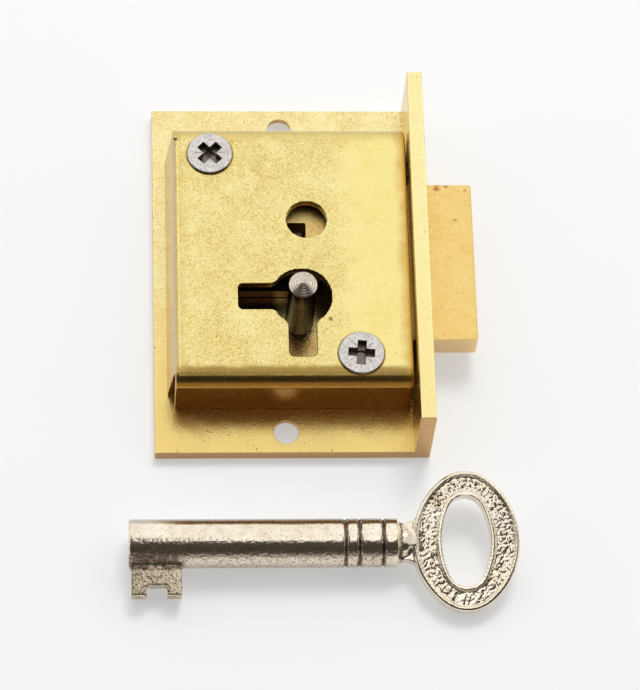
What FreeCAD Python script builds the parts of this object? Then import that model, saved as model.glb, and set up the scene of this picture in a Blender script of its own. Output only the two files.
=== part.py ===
import FreeCAD, Part
import math
import os

import Sketcher
from FreeCAD import Placement, Rotation, Vector

# Cut cupboard lock with its key, in millimetres.
# The origin lies on the key pin's axis, in the outer face of the main plate.
# +X is the way the bolt throws, +Y runs along the selvedge, +Z goes from the plate to the cover.

SIZES = (
    # main plate and selvedge, one L-shaped piece
    ("plate_length", "64"),
    ("plate_reach", "24.3"),
    ("plate_shift", "8.2"),
    ("plate_thick", "2.3"),
    ("backset", "21.1"),
    ("selvedge_thick", "2.6"),
    ("selvedge_depth", "16"),
    ("plate_round", "0.35"),
    ("fixing_inset", "3.75"),
    ("fixing_left", "2.6"),
    ("fixing_radius", "2.1"),
    ("fixing_sink_radius", "3.3"),
    # folded cover
    ("cover_thick", "1.5"),
    ("case_depth", "8.4"),
    ("bend_radius", "0.9"),
    ("left_bend_radius", "0.3"),
    ("cover_inset", "2.15"),
    ("cover_flare_ratio", "0.105"),
    ("cover_low", "15.8"),
    ("cover_high", "31.9"),
    ("cover_gap", "0.4"),
    ("lower_slit", "0.9"),
    ("upper_slit", "0.1"),
    ("cover_edge_round", "0.5"),
    # key slot and sight hole in the cover
    ("keyhole_radius", "5"),
    ("keyslot_width", "4.6"),
    ("keyslot_left", "10.45"),
    ("keyslot_down", "10.85"),
    ("keyslot_corner", "0.6"),
    ("keyslot_blend", "1.6"),
    ("sight_radius", "3.35"),
    ("sight_x", "1.1"),
    ("sight_y", "14.2"),
    # cover posts and the screws in them
    ("upper_post_inset", "9.5"),
    ("upper_post_up", "26.5"),
    ("lower_post_right", "9.5"),
    ("lower_post_down", "10.5"),
    ("post_radius", "3"),
    ("post_bore_depth", "7"),
    ("rivet_radius", "1.6"),
    ("rivet_gap", "0.02"),
    ("rivet_short", "0.05"),
    ("screw_head_radius", "3.75"),
    ("screw_rim", "0.3"),
    ("screw_proud", "0.5"),
    ("screw_radius", "2"),
    ("screw_length", "6"),
    ("screw_gap", "0.03"),
    ("recess_width", "4.4"),
    ("recess_arm", "1.5"),
    ("recess_depth", "1.6"),
    ("recess_angle", "6"),
    ("recess_core_radius", "1.15"),
    ("recess_core_depth", "2.1"),
    ("tick_width", "0.3"),
    ("tick_inner", "1.35"),
    ("tick_outer", "2.5"),
    ("tick_depth", "0.12"),
    ("upper_screw_angle", "45"),
    ("lower_screw_angle", "85"),
    # key pin
    ("pin_radius", "2.35"),
    ("pin_top", "17.6"),
    ("pin_cone", "1.1"),
    ("pin_tip_radius", "0.3"),
    # bolt
    ("bolt_width", "28.9"),
    ("bolt_thick", "5"),
    ("bolt_floor", "3.5"),
    ("bolt_proud", "8.15"),
    ("bolt_throw", "7.9"),
    ("bolt_inner", "13"),
    ("bolt_fit", "0.1"),
    ("bolt_chamfer", "0.3"),
    ("tail_thick", "2.2"),
    ("tail_gap", "0.2"),
    ("tail_low", "4.6"),
    ("tail_high", "21.5"),
    ("tail_inset", "12.9"),
    ("talon_width", "9"),
    ("talon_gap", "0.4"),
    ("talon_round", "0.9"),
    ("guide_left", "6"),
    ("guide_up", "17.5"),
    ("guide_radius", "2"),
    ("slide_gap", "0.06"),
    ("slot_round", "1.8"),
    ("stump_side", "2.6"),
    ("stump_left", "0.85"),
    ("stump_up", "12.1"),
    ("stump_sunk", "0.5"),
    ("stump_rivet", "0.9"),
    # levers on their pivot
    ("pivot_inset", "8.8"),
    ("pivot_up", "12"),
    ("pivot_radius", "1.5"),
    ("shoulder_radius", "2"),
    ("shoulder_gap", "0.1"),
    ("pivot_gap", "0.03"),
    ("pivot_head_radius", "2.3"),
    ("pivot_head", "0.6"),
    ("washer_radius", "2.8"),
    ("washer_thick", "0.3"),
    ("lever_thick", "1.2"),
    ("lever_end", "4.7"),
    ("lever_boss", "3"),
    ("lever_top", "19.5"),
    ("lever_shoulder", "4"),
    ("lever_drop_angle", "5.5"),
    ("lever_lift_angle", "2"),
    ("belly_sag", "0.75"),
    ("gate_gap", "0.25"),
    ("pocket_gap", "0.65"),
    ("pocket_round", "0.35"),
    # leaf springs
    ("leaf_thick", "0.3"),
    ("leaf_radius", "9"),
    ("leaf_gap", "0.03"),
    ("leaf_rise", "1"),
    ("leaf_hook_x", "1.6"),
    ("leaf_hook_depth", "1.6"),
    # key
    ("key_length", "63.5"),
    ("key_left", "28.7"),
    ("key_down", "40.6"),
    ("shank_radius", "4"),
    ("key_neck", "1.95"),
    ("shank_bore_radius", "2.5"),
    ("shank_bore_depth", "18"),
    ("shank_round", "0.5"),
    ("groove_first", "8.9"),
    ("groove_second", "6.65"),
    ("groove_third", "2.8"),
    ("groove_depth", "0.35"),
    ("groove_half", "0.35"),
    ("neck_radius", "3.1"),
    ("neck_end_radius", "1.7"),
    ("neck_length", "2.4"),
    ("bow_width", "23.2"),
    ("bow_span", "17.6"),
    ("bow_thick", "3.2"),
    ("bow_end_radius", "6.2"),
    ("hole_width", "14.9"),
    ("hole_span", "8"),
    ("hole_end_radius", "3"),
    ("bow_rim", "0.75"),
    ("bow_field", "0.3"),
    ("bow_round", "0.45"),
    ("web_half", "3.15"),
    ("web_spread", "5"),
    ("web_curve_ratio", "0.77"),
    ("bit_reach", "8.8"),
    ("bit_thick", "3.8"),
    ("bit_start", "0.4"),
    ("bit_end_tooth", "2.5"),
    ("bit_notch", "3.3"),
    ("bit_rear_tooth", "2.35"),
    ("notch_depth", "1.75"),
    ("bit_round", "0.3"),
)

SLACK = 0.02


class Size:
    """A length or angle that knows its number and the sheet formula that drives it."""

    def __init__(self, value, formula):
        self.value = float(value)
        self.formula = formula

    @staticmethod
    def of(other):
        if isinstance(other, Size):
            return other
        return Size(other, f"({other})")

    def __add__(self, other):
        other = Size.of(other)
        return Size(self.value + other.value, f"({self.formula} + {other.formula})")

    def __sub__(self, other):
        other = Size.of(other)
        return Size(self.value - other.value, f"({self.formula} - {other.formula})")

    def __mul__(self, other):
        other = Size.of(other)
        return Size(self.value * other.value, f"({self.formula} * {other.formula})")

    def __truediv__(self, other):
        other = Size.of(other)
        return Size(self.value / other.value, f"({self.formula} / {other.formula})")

    def __radd__(self, other):
        return Size.of(other) + self

    def __rsub__(self, other):
        return Size.of(other) - self

    def __rmul__(self, other):
        return Size.of(other) * self

    def __rtruediv__(self, other):
        return Size.of(other) / self

    def __neg__(self):
        return Size(0, "0") - self

    def root(self):
        return Size(math.sqrt(self.value), f"sqrt({self.formula})")

    def sine(self):
        return Size(math.sin(math.radians(self.value)), f"sin({self.formula})")

    def arcsine(self):
        """The angle in degrees whose sine this is."""
        return Size(math.degrees(math.asin(self.value)), f"asin({self.formula})")


class Sheet:
    """The driving dimensions, read back by name as sizes."""

    def __init__(self, sizes):
        self.cells = document.addObject("Spreadsheet::Sheet", "Dimensions")
        for row, (alias, number) in enumerate(sizes, start=1):
            self.cells.set(f"A{row}", alias)
            self.cells.set(f"B{row}", number)
            self.cells.setAlias(f"B{row}", alias)
        document.recompute()

    def __getattr__(self, alias):
        return Size(self.cells.get(alias), f"Dimensions.{alias}")


class Piece:
    """One sub-part of the lock: a body, the features drawn in it and where it stands."""

    def __init__(self, label, x=0, y=0, z=0):
        self.body = document.addObject("PartDesign::Body", label)
        self.body.Label = label
        self.body.Placement = Placement(Vector(0, 0, 0), Rotation())
        for axis, place in (("x", x), ("y", y), ("z", z)):
            if isinstance(place, Size):
                self.body.setExpression(f"Placement.Base.{axis}", place.formula)

    def turn(self, axis, angle):
        """Turn the piece about an axis through its own origin."""
        self.body.Placement = Placement(self.body.Placement.Base, Rotation(axis, angle.value))
        self.body.setExpression("Placement.Rotation.Angle", angle.formula)

    def sketch(self, name, plane, level, *outlines):
        """Draw outlines on one of the body's origin planes, lifted along its normal to a level."""
        sketch = self.body.newObject("Sketcher::SketchObject", f"{self.body.Label}_{name}")
        origin = next(f for f in self.body.Origin.OriginFeatures if f.Role == plane)
        sketch.AttachmentSupport = [(origin, "")]
        sketch.MapMode = "FlatFace"
        sketch.setExpression("AttachmentOffset.Base.z", Size.of(level).formula)
        for outline in outlines:
            outline.draw(sketch)
        document.recompute()
        return sketch

    def feature(self, kind, name, profile):
        feature = self.body.newObject(f"PartDesign::{kind}", f"{self.body.Label}_{name}")
        feature.Profile = profile
        return feature

    def pad(self, name, profile, length, symmetric=False):
        pad = self.feature("Pad", name, profile)
        pad.SideType = "Symmetric" if symmetric else "One side"
        pad.setExpression("Length", Size.of(length).formula)
        document.recompute()
        return pad

    def pocket(self, name, profile, length, symmetric=False, upwards=False):
        """Cut a pocket, down the sketch's normal unless it is told to go up."""
        before = self.body.Tip.Shape.Volume
        pocket = self.feature("Pocket", name, profile)
        pocket.SideType = "Symmetric" if symmetric else "One side"
        pocket.Reversed = upwards
        pocket.setExpression("Length", Size.of(length).formula)
        document.recompute()
        self.expect_less(name, before)
        return pocket

    def revolve(self, name, profile, axis):
        revolution = self.feature("Revolution", name, profile)
        revolution.ReferenceAxis = (profile, [axis])
        document.recompute()
        return revolution

    def groove(self, name, profile, axis):
        before = self.body.Tip.Shape.Volume
        groove = self.feature("Groove", name, profile)
        groove.ReferenceAxis = (profile, [axis])
        document.recompute()
        self.expect_less(name, before)
        return groove

    def hole(self, name, centres, radius, sink_radius=None, upwards=False):
        """Drill through at each drawn centre, countersunk at the sketch if a sink is given."""
        before = self.body.Tip.Shape.Volume
        hole = self.feature("Hole", name, centres)
        hole.Reversed = upwards
        hole.DepthType = "ThroughAll"
        hole.setExpression("Diameter", (radius * 2).formula)
        if sink_radius is not None:
            hole.HoleCutType = "Countersink"
            hole.HoleCutCustomValues = True
            hole.HoleCutCountersinkAngle = 90
            hole.setExpression("HoleCutDiameter", (sink_radius * 2).formula)
        document.recompute()
        self.expect_less(name, before)
        return hole

    def pattern_round(self, name, original, count):
        """Repeat a feature evenly about the body's own Z axis."""
        pattern = self.body.newObject("PartDesign::PolarPattern", f"{self.body.Label}_{name}")
        pattern.Originals = [original]
        pattern.Axis = (original.Profile[0], ["N_Axis"])
        pattern.Angle = 360
        pattern.Occurrences = count
        self.body.Tip = pattern
        document.recompute()
        return pattern

    def expect_less(self, name, before):
        if self.body.Tip.Shape.Volume >= before:
            raise RuntimeError(f"{self.body.Label}: {name} cuts nothing")

    def round_edges(self, name, radius, wanted):
        """Round the edges of the last feature that a test picks out."""
        return self.edge_feature("Fillet", "Radius", name, radius, wanted)

    def chamfer_edges(self, name, size, wanted):
        return self.edge_feature("Chamfer", "Size", name, size, wanted)

    def edge_feature(self, kind, size_name, name, size, wanted):
        base = self.body.Tip
        picked = [f"Edge{i}" for i, edge in enumerate(base.Shape.Edges, start=1) if wanted(edge)]
        if not picked:
            raise RuntimeError(f"{self.body.Label}: {name} finds no edge")
        feature = self.body.newObject(f"PartDesign::{kind}", f"{self.body.Label}_{name}")
        feature.Base = (base, picked)
        feature.setExpression(size_name, Size.of(size).formula)
        document.recompute()
        return feature


class Path:
    """A closed outline of straight runs and arcs, each corner pinned by sheet formulas.

    A corner is (x, y) where a straight run leaves it, or (x, y, radius) where an arc does:
    a positive radius turns to the left, a negative one to the right.
    """

    def __init__(self, *corners):
        self.corners = [tuple(Size.of(number) for number in corner) for corner in corners]

    def draw(self, sketch):
        ends = []
        for corner, following in zip(self.corners, self.corners[1:] + self.corners[:1]):
            start = Vector(corner[0].value, corner[1].value, 0)
            end = Vector(following[0].value, following[1].value, 0)
            if len(corner) == 2:
                ends.append((sketch.addGeometry(Part.LineSegment(start, end), False), 1, 2))
            else:
                ends.append(self.draw_arc(sketch, start, end, corner[2]))
        for (one, _, tail), (other, head, _) in zip(ends, ends[1:] + ends[:1]):
            sketch.addConstraint(Sketcher.Constraint("Coincident", one, tail, other, head))
        for (index, head, _), corner in zip(ends, self.corners):
            pin_point(sketch, index, head, corner[0], corner[1])

    def draw_arc(self, sketch, start, end, radius):
        chord = end - start
        leftward = Vector(-chord.y, chord.x, 0).normalize()
        sign = 1 if radius.value > 0 else -1
        size = abs(radius.value)
        centre = (start + end) * 0.5 + leftward * sign * math.sqrt(size**2 - chord.Length**2 / 4)
        first, last = (start, end) if sign > 0 else (end, start)
        angles = [math.atan2(p.y - centre.y, p.x - centre.x) for p in (first, last)]
        circle = Part.Circle(centre, Vector(0, 0, 1), size)
        index = sketch.addGeometry(Part.ArcOfCircle(circle, *angles), False)
        pin(sketch, Sketcher.Constraint("Radius", index, size), radius if sign > 0 else -radius)
        return (index, 1, 2) if sign > 0 else (index, 2, 1)


class Circle:
    """A full circle about a point."""

    def __init__(self, x, y, radius):
        self.x, self.y, self.radius = Size.of(x), Size.of(y), Size.of(radius)

    def draw(self, sketch):
        centre = Vector(self.x.value, self.y.value, 0)
        circle = Part.Circle(centre, Vector(0, 0, 1), self.radius.value)
        index = sketch.addGeometry(circle, False)
        pin_point(sketch, index, 3, self.x, self.y)
        pin(sketch, Sketcher.Constraint("Radius", index, self.radius.value), self.radius)


def pin(sketch, constraint, size):
    """Add a constraint and drive it by the sheet."""
    index = sketch.addConstraint(constraint)
    sketch.setExpression(f"Constraints[{index}]", size.formula)


def pin_point(sketch, index, point, x, y):
    pin(sketch, Sketcher.Constraint("DistanceX", -1, 1, index, point, x.value), x)
    pin(sketch, Sketcher.Constraint("DistanceY", -1, 1, index, point, y.value), y)


def box(left, low, right, high):
    """A rectangle between two corners."""
    return Path((left, low), (right, low), (right, high), (left, high))


def oval(centre_x, half_x, half_y, end_radius):
    """An upright four-arc oval about a point on the X axis."""
    rise = half_y - end_radius
    side_radius = (half_x * half_x + rise * rise - end_radius * end_radius) / (2 * (half_x - end_radius))
    scale = side_radius / (side_radius - end_radius)
    meet_x = (side_radius - half_x) * (scale - 1)
    meet_y = rise * scale
    return Path(
        (centre_x + meet_x, meet_y, end_radius),
        (centre_x - meet_x, meet_y, side_radius),
        (centre_x - meet_x, -meet_y, end_radius),
        (centre_x + meet_x, -meet_y, side_radius),
    )


def runs_along(edge, axis):
    """True for a straight edge that lies along an axis."""
    if edge.Curve.TypeId != "Part::GeomLine":
        return False
    return abs(edge.Curve.Direction.dot(axis)) > 1 - 1e-6


def passes(edge, axis, points):
    """True for a straight edge along an axis that passes one of some points."""
    if not runs_along(edge, axis):
        return False
    start = edge.Vertexes[0].Point
    return any((start - point).cross(axis).Length < SLACK for point in points)


document = FreeCAD.newDocument("cut_cupboard_lock")
s = Sheet(SIZES)

X_AXIS, Y_AXIS, Z_AXIS = Vector(1, 0, 0), Vector(0, 1, 0), Vector(0, 0, 1)

# Levels and places that several pieces share.
cover_left = s.plate_reach - s.cover_inset
guide_x = -s.guide_left
stump_x = -s.stump_left
pivot_x = s.pivot_inset - s.plate_reach
tail_left = s.tail_inset - s.plate_reach
lever_reach = s.lever_end - pivot_x
shank_length = s.key_length - s.bow_span - s.key_neck
inside = s.plate_thick
rivet_end = s.rivet_short - inside
ceiling = inside + s.case_depth
cover_face = ceiling + s.cover_thick
selvedge_inner = s.backset - s.selvedge_thick
bolt_low = s.plate_shift - s.bolt_width / 2
bolt_high = s.plate_shift + s.bolt_width / 2
tail_floor = inside + s.tail_gap
tail_face = tail_floor + s.tail_thick
shoulder_top = tail_face + s.shoulder_gap
lever_pitch = s.lever_thick + s.washer_thick
stump_half = s.stump_side / 2
LEVERS = 3
first_lever = shoulder_top + s.washer_thick
lever_floors = [first_lever + lever_pitch * n for n in range(LEVERS)]
pack_top = lever_floors[-1] + s.lever_thick
short_bit_reach = s.bit_reach - s.notch_depth
lever_bellies = [short_bit_reach, short_bit_reach, s.bit_reach]

# What is riveted through the main plate, and where.
RIVETED = {
    "cover_post_upper": (s.upper_post_inset - s.plate_reach, s.upper_post_up),
    "cover_post_lower": (s.lower_post_right, -s.lower_post_down),
    "key_pin": (Size.of(0), Size.of(0)),
    "bolt_guide_stud": (guide_x, s.guide_up),
    "lever_pivot": (pivot_x, s.pivot_up),
}


def main_plate():
    """Plate and selvedge, with the bolt's opening, two fixing holes and the rivet holes."""
    piece = Piece("main_plate")
    profile = Path(
        (-s.plate_reach, 0),
        (s.backset, 0),
        (s.backset, s.selvedge_depth),
        (selvedge_inner, s.selvedge_depth),
        (selvedge_inner, s.plate_thick),
        (-s.plate_reach, s.plate_thick),
    )
    section = piece.sketch("section", "XZ_Plane", -s.plate_shift, profile)
    piece.pad("bar", section, s.plate_length, symmetric=True)
    ends = [
        Vector(s.backset.value, 0, 0),
        Vector(s.backset.value, 0, s.selvedge_depth.value),
        Vector(selvedge_inner.value, 0, s.selvedge_depth.value),
        Vector(-s.plate_reach.value, 0, s.plate_thick.value),
        Vector(-s.plate_reach.value, 0, 0),
    ]
    piece.round_edges("rounded", s.plate_round, lambda edge: passes(edge, Y_AXIS, ends))
    opening = box(
        bolt_low - s.bolt_fit,
        s.bolt_floor - s.bolt_fit,
        bolt_high + s.bolt_fit,
        s.bolt_floor + s.bolt_thick + s.bolt_fit,
    )
    mouth = piece.sketch("bolt_mouth", "YZ_Plane", s.backset, opening)
    piece.pocket("bolt_opening", mouth, s.selvedge_thick)
    rivets = [Circle(x, y, s.rivet_radius + s.rivet_gap) for x, y in RIVETED.values()]
    piece.pocket("rivet_holes", piece.sketch("rivets", "XY_Plane", inside, *rivets), inside)
    half = s.plate_length / 2 - s.fixing_inset
    centres = [Circle(-s.fixing_left, s.plate_shift + half * side, s.fixing_radius) for side in (-1, 1)]
    fixings = piece.sketch("fixings", "XY_Plane", 0, *centres)
    piece.hole("fixing_holes", fixings, s.fixing_radius, s.fixing_sink_radius, upwards=True)
    return piece


def case_cover():
    """Folded sheet cover: a top, a flared left wall and upright lower and upper walls."""
    piece = Piece("case_cover")
    right = selvedge_inner - s.cover_gap
    outer = s.bend_radius + s.cover_thick
    left_outer = s.left_bend_radius + s.cover_thick
    slope = (1 + s.cover_flare_ratio * s.cover_flare_ratio).root()
    lean = s.cover_flare_ratio / slope
    upright = 1 / slope
    bend_z = cover_face - outer
    left_bend_z = cover_face - left_outer
    bend_x = (left_outer + lean * (left_bend_z - inside)) / upright - cover_left
    low_bend = outer - s.cover_low
    high_bend = s.cover_high - outer
    top = piece.sketch("top", "XY_Plane", ceiling, box(bend_x, low_bend, right, high_bend))
    piece.pad("top_sheet", top, s.cover_thick)

    left_wall = Path(
        (bend_x, cover_face, left_outer),
        (bend_x - left_outer * upright, left_bend_z + left_outer * lean),
        (-cover_left, inside),
        (s.cover_thick / upright - cover_left, inside),
        (
            bend_x - s.left_bend_radius * upright,
            left_bend_z + s.left_bend_radius * lean,
            -s.left_bend_radius,
        ),
        (bend_x, ceiling),
    )
    inner_low = s.cover_thick + s.lower_slit - s.cover_low
    inner_high = s.cover_high - s.cover_thick - s.upper_slit
    section = piece.sketch("left_section", "XZ_Plane", -(inner_low + inner_high) / 2, left_wall)
    piece.pad("left_wall", section, inner_high - inner_low, symmetric=True)

    wall_start = bend_x - s.cover_thick
    for name, face, bend, side in (
        ("lower", -s.cover_low, low_bend, 1),
        ("upper", s.cover_high, high_bend, -1),
    ):
        wall = Path(
            (bend, cover_face, outer * side),
            (face, bend_z),
            (face, inside),
            (face + s.cover_thick * side, inside),
            (face + s.cover_thick * side, bend_z, -s.bend_radius * side),
            (bend, ceiling),
        )
        section = piece.sketch(f"{name}_section", "YZ_Plane", (wall_start + right) / 2, wall)
        piece.pad(f"{name}_wall", section, right - wall_start, symmetric=True)

    half = s.keyslot_width / 2
    cuts = (
        ("key_round", Circle(0, 0, s.keyhole_radius)),
        ("left_slot", box(-s.keyslot_left, -half, 0, half)),
        ("lower_slot", box(-half, -s.keyslot_down, half, 0)),
        ("sight_hole", Circle(s.sight_x, s.sight_y, s.sight_radius)),
    )
    for name, outline in cuts:
        drawn = piece.sketch(f"{name}_outline", "XY_Plane", cover_face, outline)
        piece.pocket(name, drawn, s.cover_thick)
    along = (s.keyhole_radius * s.keyhole_radius - half * half).root()
    blends = [
        Vector(-along.value, half.value, 0),
        Vector(-along.value, -half.value, 0),
        Vector(-half.value, -along.value, 0),
        Vector(half.value, -along.value, 0),
    ]
    piece.round_edges("slot_blends", s.keyslot_blend, lambda edge: passes(edge, Z_AXIS, blends))
    corners = [
        Vector(-s.keyslot_left.value, half.value, 0),
        Vector(-s.keyslot_left.value, -half.value, 0),
        Vector(-half.value, -s.keyslot_down.value, 0),
        Vector(half.value, -s.keyslot_down.value, 0),
    ]
    piece.round_edges("slot_corners", s.keyslot_corner, lambda edge: passes(edge, Z_AXIS, corners))
    rim = [Vector(right.value, 0, cover_face.value)]
    piece.round_edges("right_edge", s.cover_edge_round, lambda edge: passes(edge, Y_AXIS, rim))

    sink = s.screw_head_radius + s.screw_rim - s.screw_proud + s.screw_gap
    posts = [Circle(*RIVETED[f"cover_post_{end}"], s.screw_radius) for end in ("upper", "lower")]
    centres = piece.sketch("screw_centres", "XY_Plane", cover_face, *posts)
    piece.hole("screw_holes", centres, s.screw_radius + s.screw_gap, sink)
    return piece


def cover_post(label):
    """Post riveted through the plate, bored from its top for a cover screw."""
    piece = Piece(label, *RIVETED[label], inside)
    bore = s.screw_radius + s.screw_gap
    bore_floor = s.case_depth - s.post_bore_depth
    profile = Path(
        (0, rivet_end),
        (s.rivet_radius, rivet_end),
        (s.rivet_radius, 0),
        (s.post_radius, 0),
        (s.post_radius, s.case_depth),
        (bore, s.case_depth),
        (bore, bore_floor),
        (0, bore_floor - bore / 2),
    )
    piece.revolve("turned", piece.sketch("profile", "XZ_Plane", 0, profile), "V_Axis")
    return piece


def cover_screw(label, post, turn):
    """Countersunk screw with a cross recess about a round core, and four ticks between its arms."""
    piece = Piece(label, *RIVETED[post], cover_face + s.screw_proud)
    cone_end = s.screw_head_radius - s.screw_radius + s.screw_rim
    end = s.screw_proud + s.cover_thick + s.screw_length
    point = s.screw_radius / 4
    profile = Path(
        (0, 0),
        (0, -end),
        (s.screw_radius - point, -end),
        (s.screw_radius, point - end),
        (s.screw_radius, -cone_end),
        (s.screw_head_radius, -s.screw_rim),
        (s.screw_head_radius, -s.screw_rim / 3),
        (s.screw_head_radius - s.screw_rim / 3, 0),
    )
    piece.revolve("turned", piece.sketch("profile", "XZ_Plane", 0, profile), "V_Axis")
    reach = s.recess_width / 2
    arm = s.recess_arm / 2
    cross = Path(
        (reach, -arm), (reach, arm), (arm, arm), (arm, reach),
        (-arm, reach), (-arm, arm), (-reach, arm), (-reach, -arm),
        (-arm, -arm), (-arm, -reach), (arm, -reach), (arm, -arm),
    )
    recess = piece.pocket("recess", piece.sketch("cross", "XY_Plane", 0, cross), s.recess_depth)
    recess.setExpression("TaperAngle", (-s.recess_angle).formula)
    core = piece.sketch("core_outline", "XY_Plane", 0, Circle(0, 0, s.recess_core_radius))
    piece.pocket("core", core, s.recess_core_depth)
    diagonal = Size.of(2).root()
    inner = s.tick_inner / diagonal
    outer = s.tick_outer / diagonal
    half = s.tick_width / 2 / diagonal
    tick = Path(
        (inner + half, inner - half),
        (outer + half, outer - half),
        (outer - half, outer + half),
        (inner - half, inner + half),
    )
    mark = piece.pocket("tick", piece.sketch("tick_outline", "XY_Plane", 0, tick), s.tick_depth)
    piece.pattern_round("ticks", mark, 4)
    piece.turn(Z_AXIS, turn)
    return piece


def key_pin():
    """Pin that the hollow key turns on, with a turned cone end."""
    piece = Piece("key_pin", z=inside)
    top = s.pin_top - inside
    profile = Path(
        (0, rivet_end),
        (s.rivet_radius, rivet_end),
        (s.rivet_radius, 0),
        (s.pin_radius, 0),
        (s.pin_radius, top - s.pin_cone),
        (s.pin_tip_radius, top),
        (0, top),
    )
    piece.revolve("turned", piece.sketch("profile", "XZ_Plane", 0, profile), "V_Axis")
    return piece


def bolt_guide_stud():
    """Stud in the plate that guides the slot in the bolt's tail."""
    piece = Piece("bolt_guide_stud", *RIVETED["bolt_guide_stud"], inside)
    top = shoulder_top - inside
    profile = Path(
        (0, rivet_end),
        (s.rivet_radius, rivet_end),
        (s.rivet_radius, 0),
        (s.guide_radius, 0),
        (s.guide_radius, top),
        (0, top),
    )
    piece.revolve("turned", piece.sketch("profile", "XZ_Plane", 0, profile), "V_Axis")
    return piece


def lever_pivot():
    """Stepped stud: a shoulder that guides the tail's fork, a journal and a riveted head."""
    piece = Piece("lever_pivot", *RIVETED["lever_pivot"], inside)
    shoulder = shoulder_top - inside
    neck = pack_top + s.washer_thick - inside
    head = neck + s.pivot_head
    profile = Path(
        (0, rivet_end),
        (s.rivet_radius, rivet_end),
        (s.rivet_radius, 0),
        (s.shoulder_radius, 0),
        (s.shoulder_radius, shoulder),
        (s.pivot_radius, shoulder),
        (s.pivot_radius, neck),
        (s.pivot_head_radius, neck),
        (s.pivot_radius, head),
        (0, head),
    )
    piece.revolve("turned", piece.sketch("profile", "XZ_Plane", 0, profile), "V_Axis")
    return piece


def pivot_washer(number, floor):
    """Thin washer on the pivot, under or over a lever."""
    piece = Piece(f"pivot_washer_{number}", *RIVETED["lever_pivot"], floor)
    bore = Circle(0, 0, s.pivot_radius + s.pivot_gap)
    ring = piece.sketch("ring", "XY_Plane", 0, Circle(0, 0, s.washer_radius), bore)
    piece.pad("washer", ring, s.washer_thick)
    return piece


def bolt():
    """Bolt head and thinner tail, with the talon, the guide slot and the pivot fork."""
    piece = Piece("bolt")
    foot = selvedge_inner - s.tail_gap
    plan = Path(
        (tail_left, s.tail_low),
        (s.bolt_inner, s.tail_low),
        (s.bolt_inner, bolt_low),
        (foot, bolt_low),
        (foot, bolt_high),
        (s.bolt_inner, bolt_high),
        (s.bolt_inner, s.tail_high),
        (tail_left, s.tail_high),
    )
    piece.pad("tail", piece.sketch("tail_plan", "XY_Plane", tail_floor, plan), s.tail_thick)
    end = s.backset + s.bolt_proud
    head = piece.sketch("head_plan", "XY_Plane", s.bolt_floor, box(s.bolt_inner, bolt_low, end, bolt_high))
    piece.pad("head", head, s.bolt_thick)
    piece.chamfer_edges(
        "head_edges",
        s.bolt_chamfer,
        lambda edge: all(abs(v.X - end.value) < SLACK for v in edge.Vertexes),
    )

    talon_x = s.bolt_throw / 2
    half = s.talon_width / 2
    talon_top = s.bit_reach + s.talon_gap
    guide = s.guide_radius + s.slide_gap
    fork = s.shoulder_radius + s.slide_gap
    fork_end = pivot_x + s.bolt_throw + fork
    cuts = (
        ("talon", box(talon_x - half, 0, talon_x + half, talon_top)),
        (
            "guide_slot",
            box(
                guide_x - guide,
                s.guide_up - guide,
                guide_x + s.bolt_throw + guide,
                s.guide_up + guide,
            ),
        ),
        ("fork", box(tail_left * 2, s.pivot_up - fork, fork_end, s.pivot_up + fork)),
        ("stump_hole", Circle(stump_x, s.stump_up, s.stump_rivet + s.rivet_gap)),
    )
    for name, outline in cuts:
        drawn = piece.sketch(f"{name}_outline", "XY_Plane", tail_face, outline)
        piece.pocket(name, drawn, s.tail_thick)
    corners = [Vector((talon_x + half * side).value, talon_top.value, 0) for side in (-1, 1)]
    corners += [Vector((talon_x + half * side).value, s.tail_low.value, 0) for side in (-1, 1)]
    corners += [Vector(tail_left.value, y.value, 0) for y in (s.tail_low, s.tail_high)]
    piece.round_edges("talon_corners", s.talon_round, lambda edge: passes(edge, Z_AXIS, corners))
    slot_ends = [
        Vector(x.value, (s.guide_up + guide * side).value, 0)
        for x in (guide_x - guide, guide_x + s.bolt_throw + guide)
        for side in (-1, 1)
    ]
    slot_ends += [Vector(fork_end.value, (s.pivot_up + fork * side).value, 0) for side in (-1, 1)]
    piece.round_edges("slot_ends", s.slot_round, lambda edge: passes(edge, Z_AXIS, slot_ends))
    return piece


def bolt_stump():
    """Square peg riveted in the tail, that the levers' gates pass over."""
    piece = Piece("bolt_stump", stump_x, s.stump_up, tail_face)
    square = piece.sketch("square", "XY_Plane", 0, box(-stump_half, -stump_half, stump_half, stump_half))
    piece.pad("peg", square, pack_top - s.stump_sunk - tail_face)
    rivet = piece.sketch("rivet", "XY_Plane", -s.tail_thick, Circle(0, 0, s.stump_rivet))
    piece.pad("rivet_shank", rivet, s.tail_thick)
    return piece


def swing_at(x, angle):
    """How far a place along a lever goes down or up as the lever swings by an angle."""
    return (x - pivot_x) * angle.sine()


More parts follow.
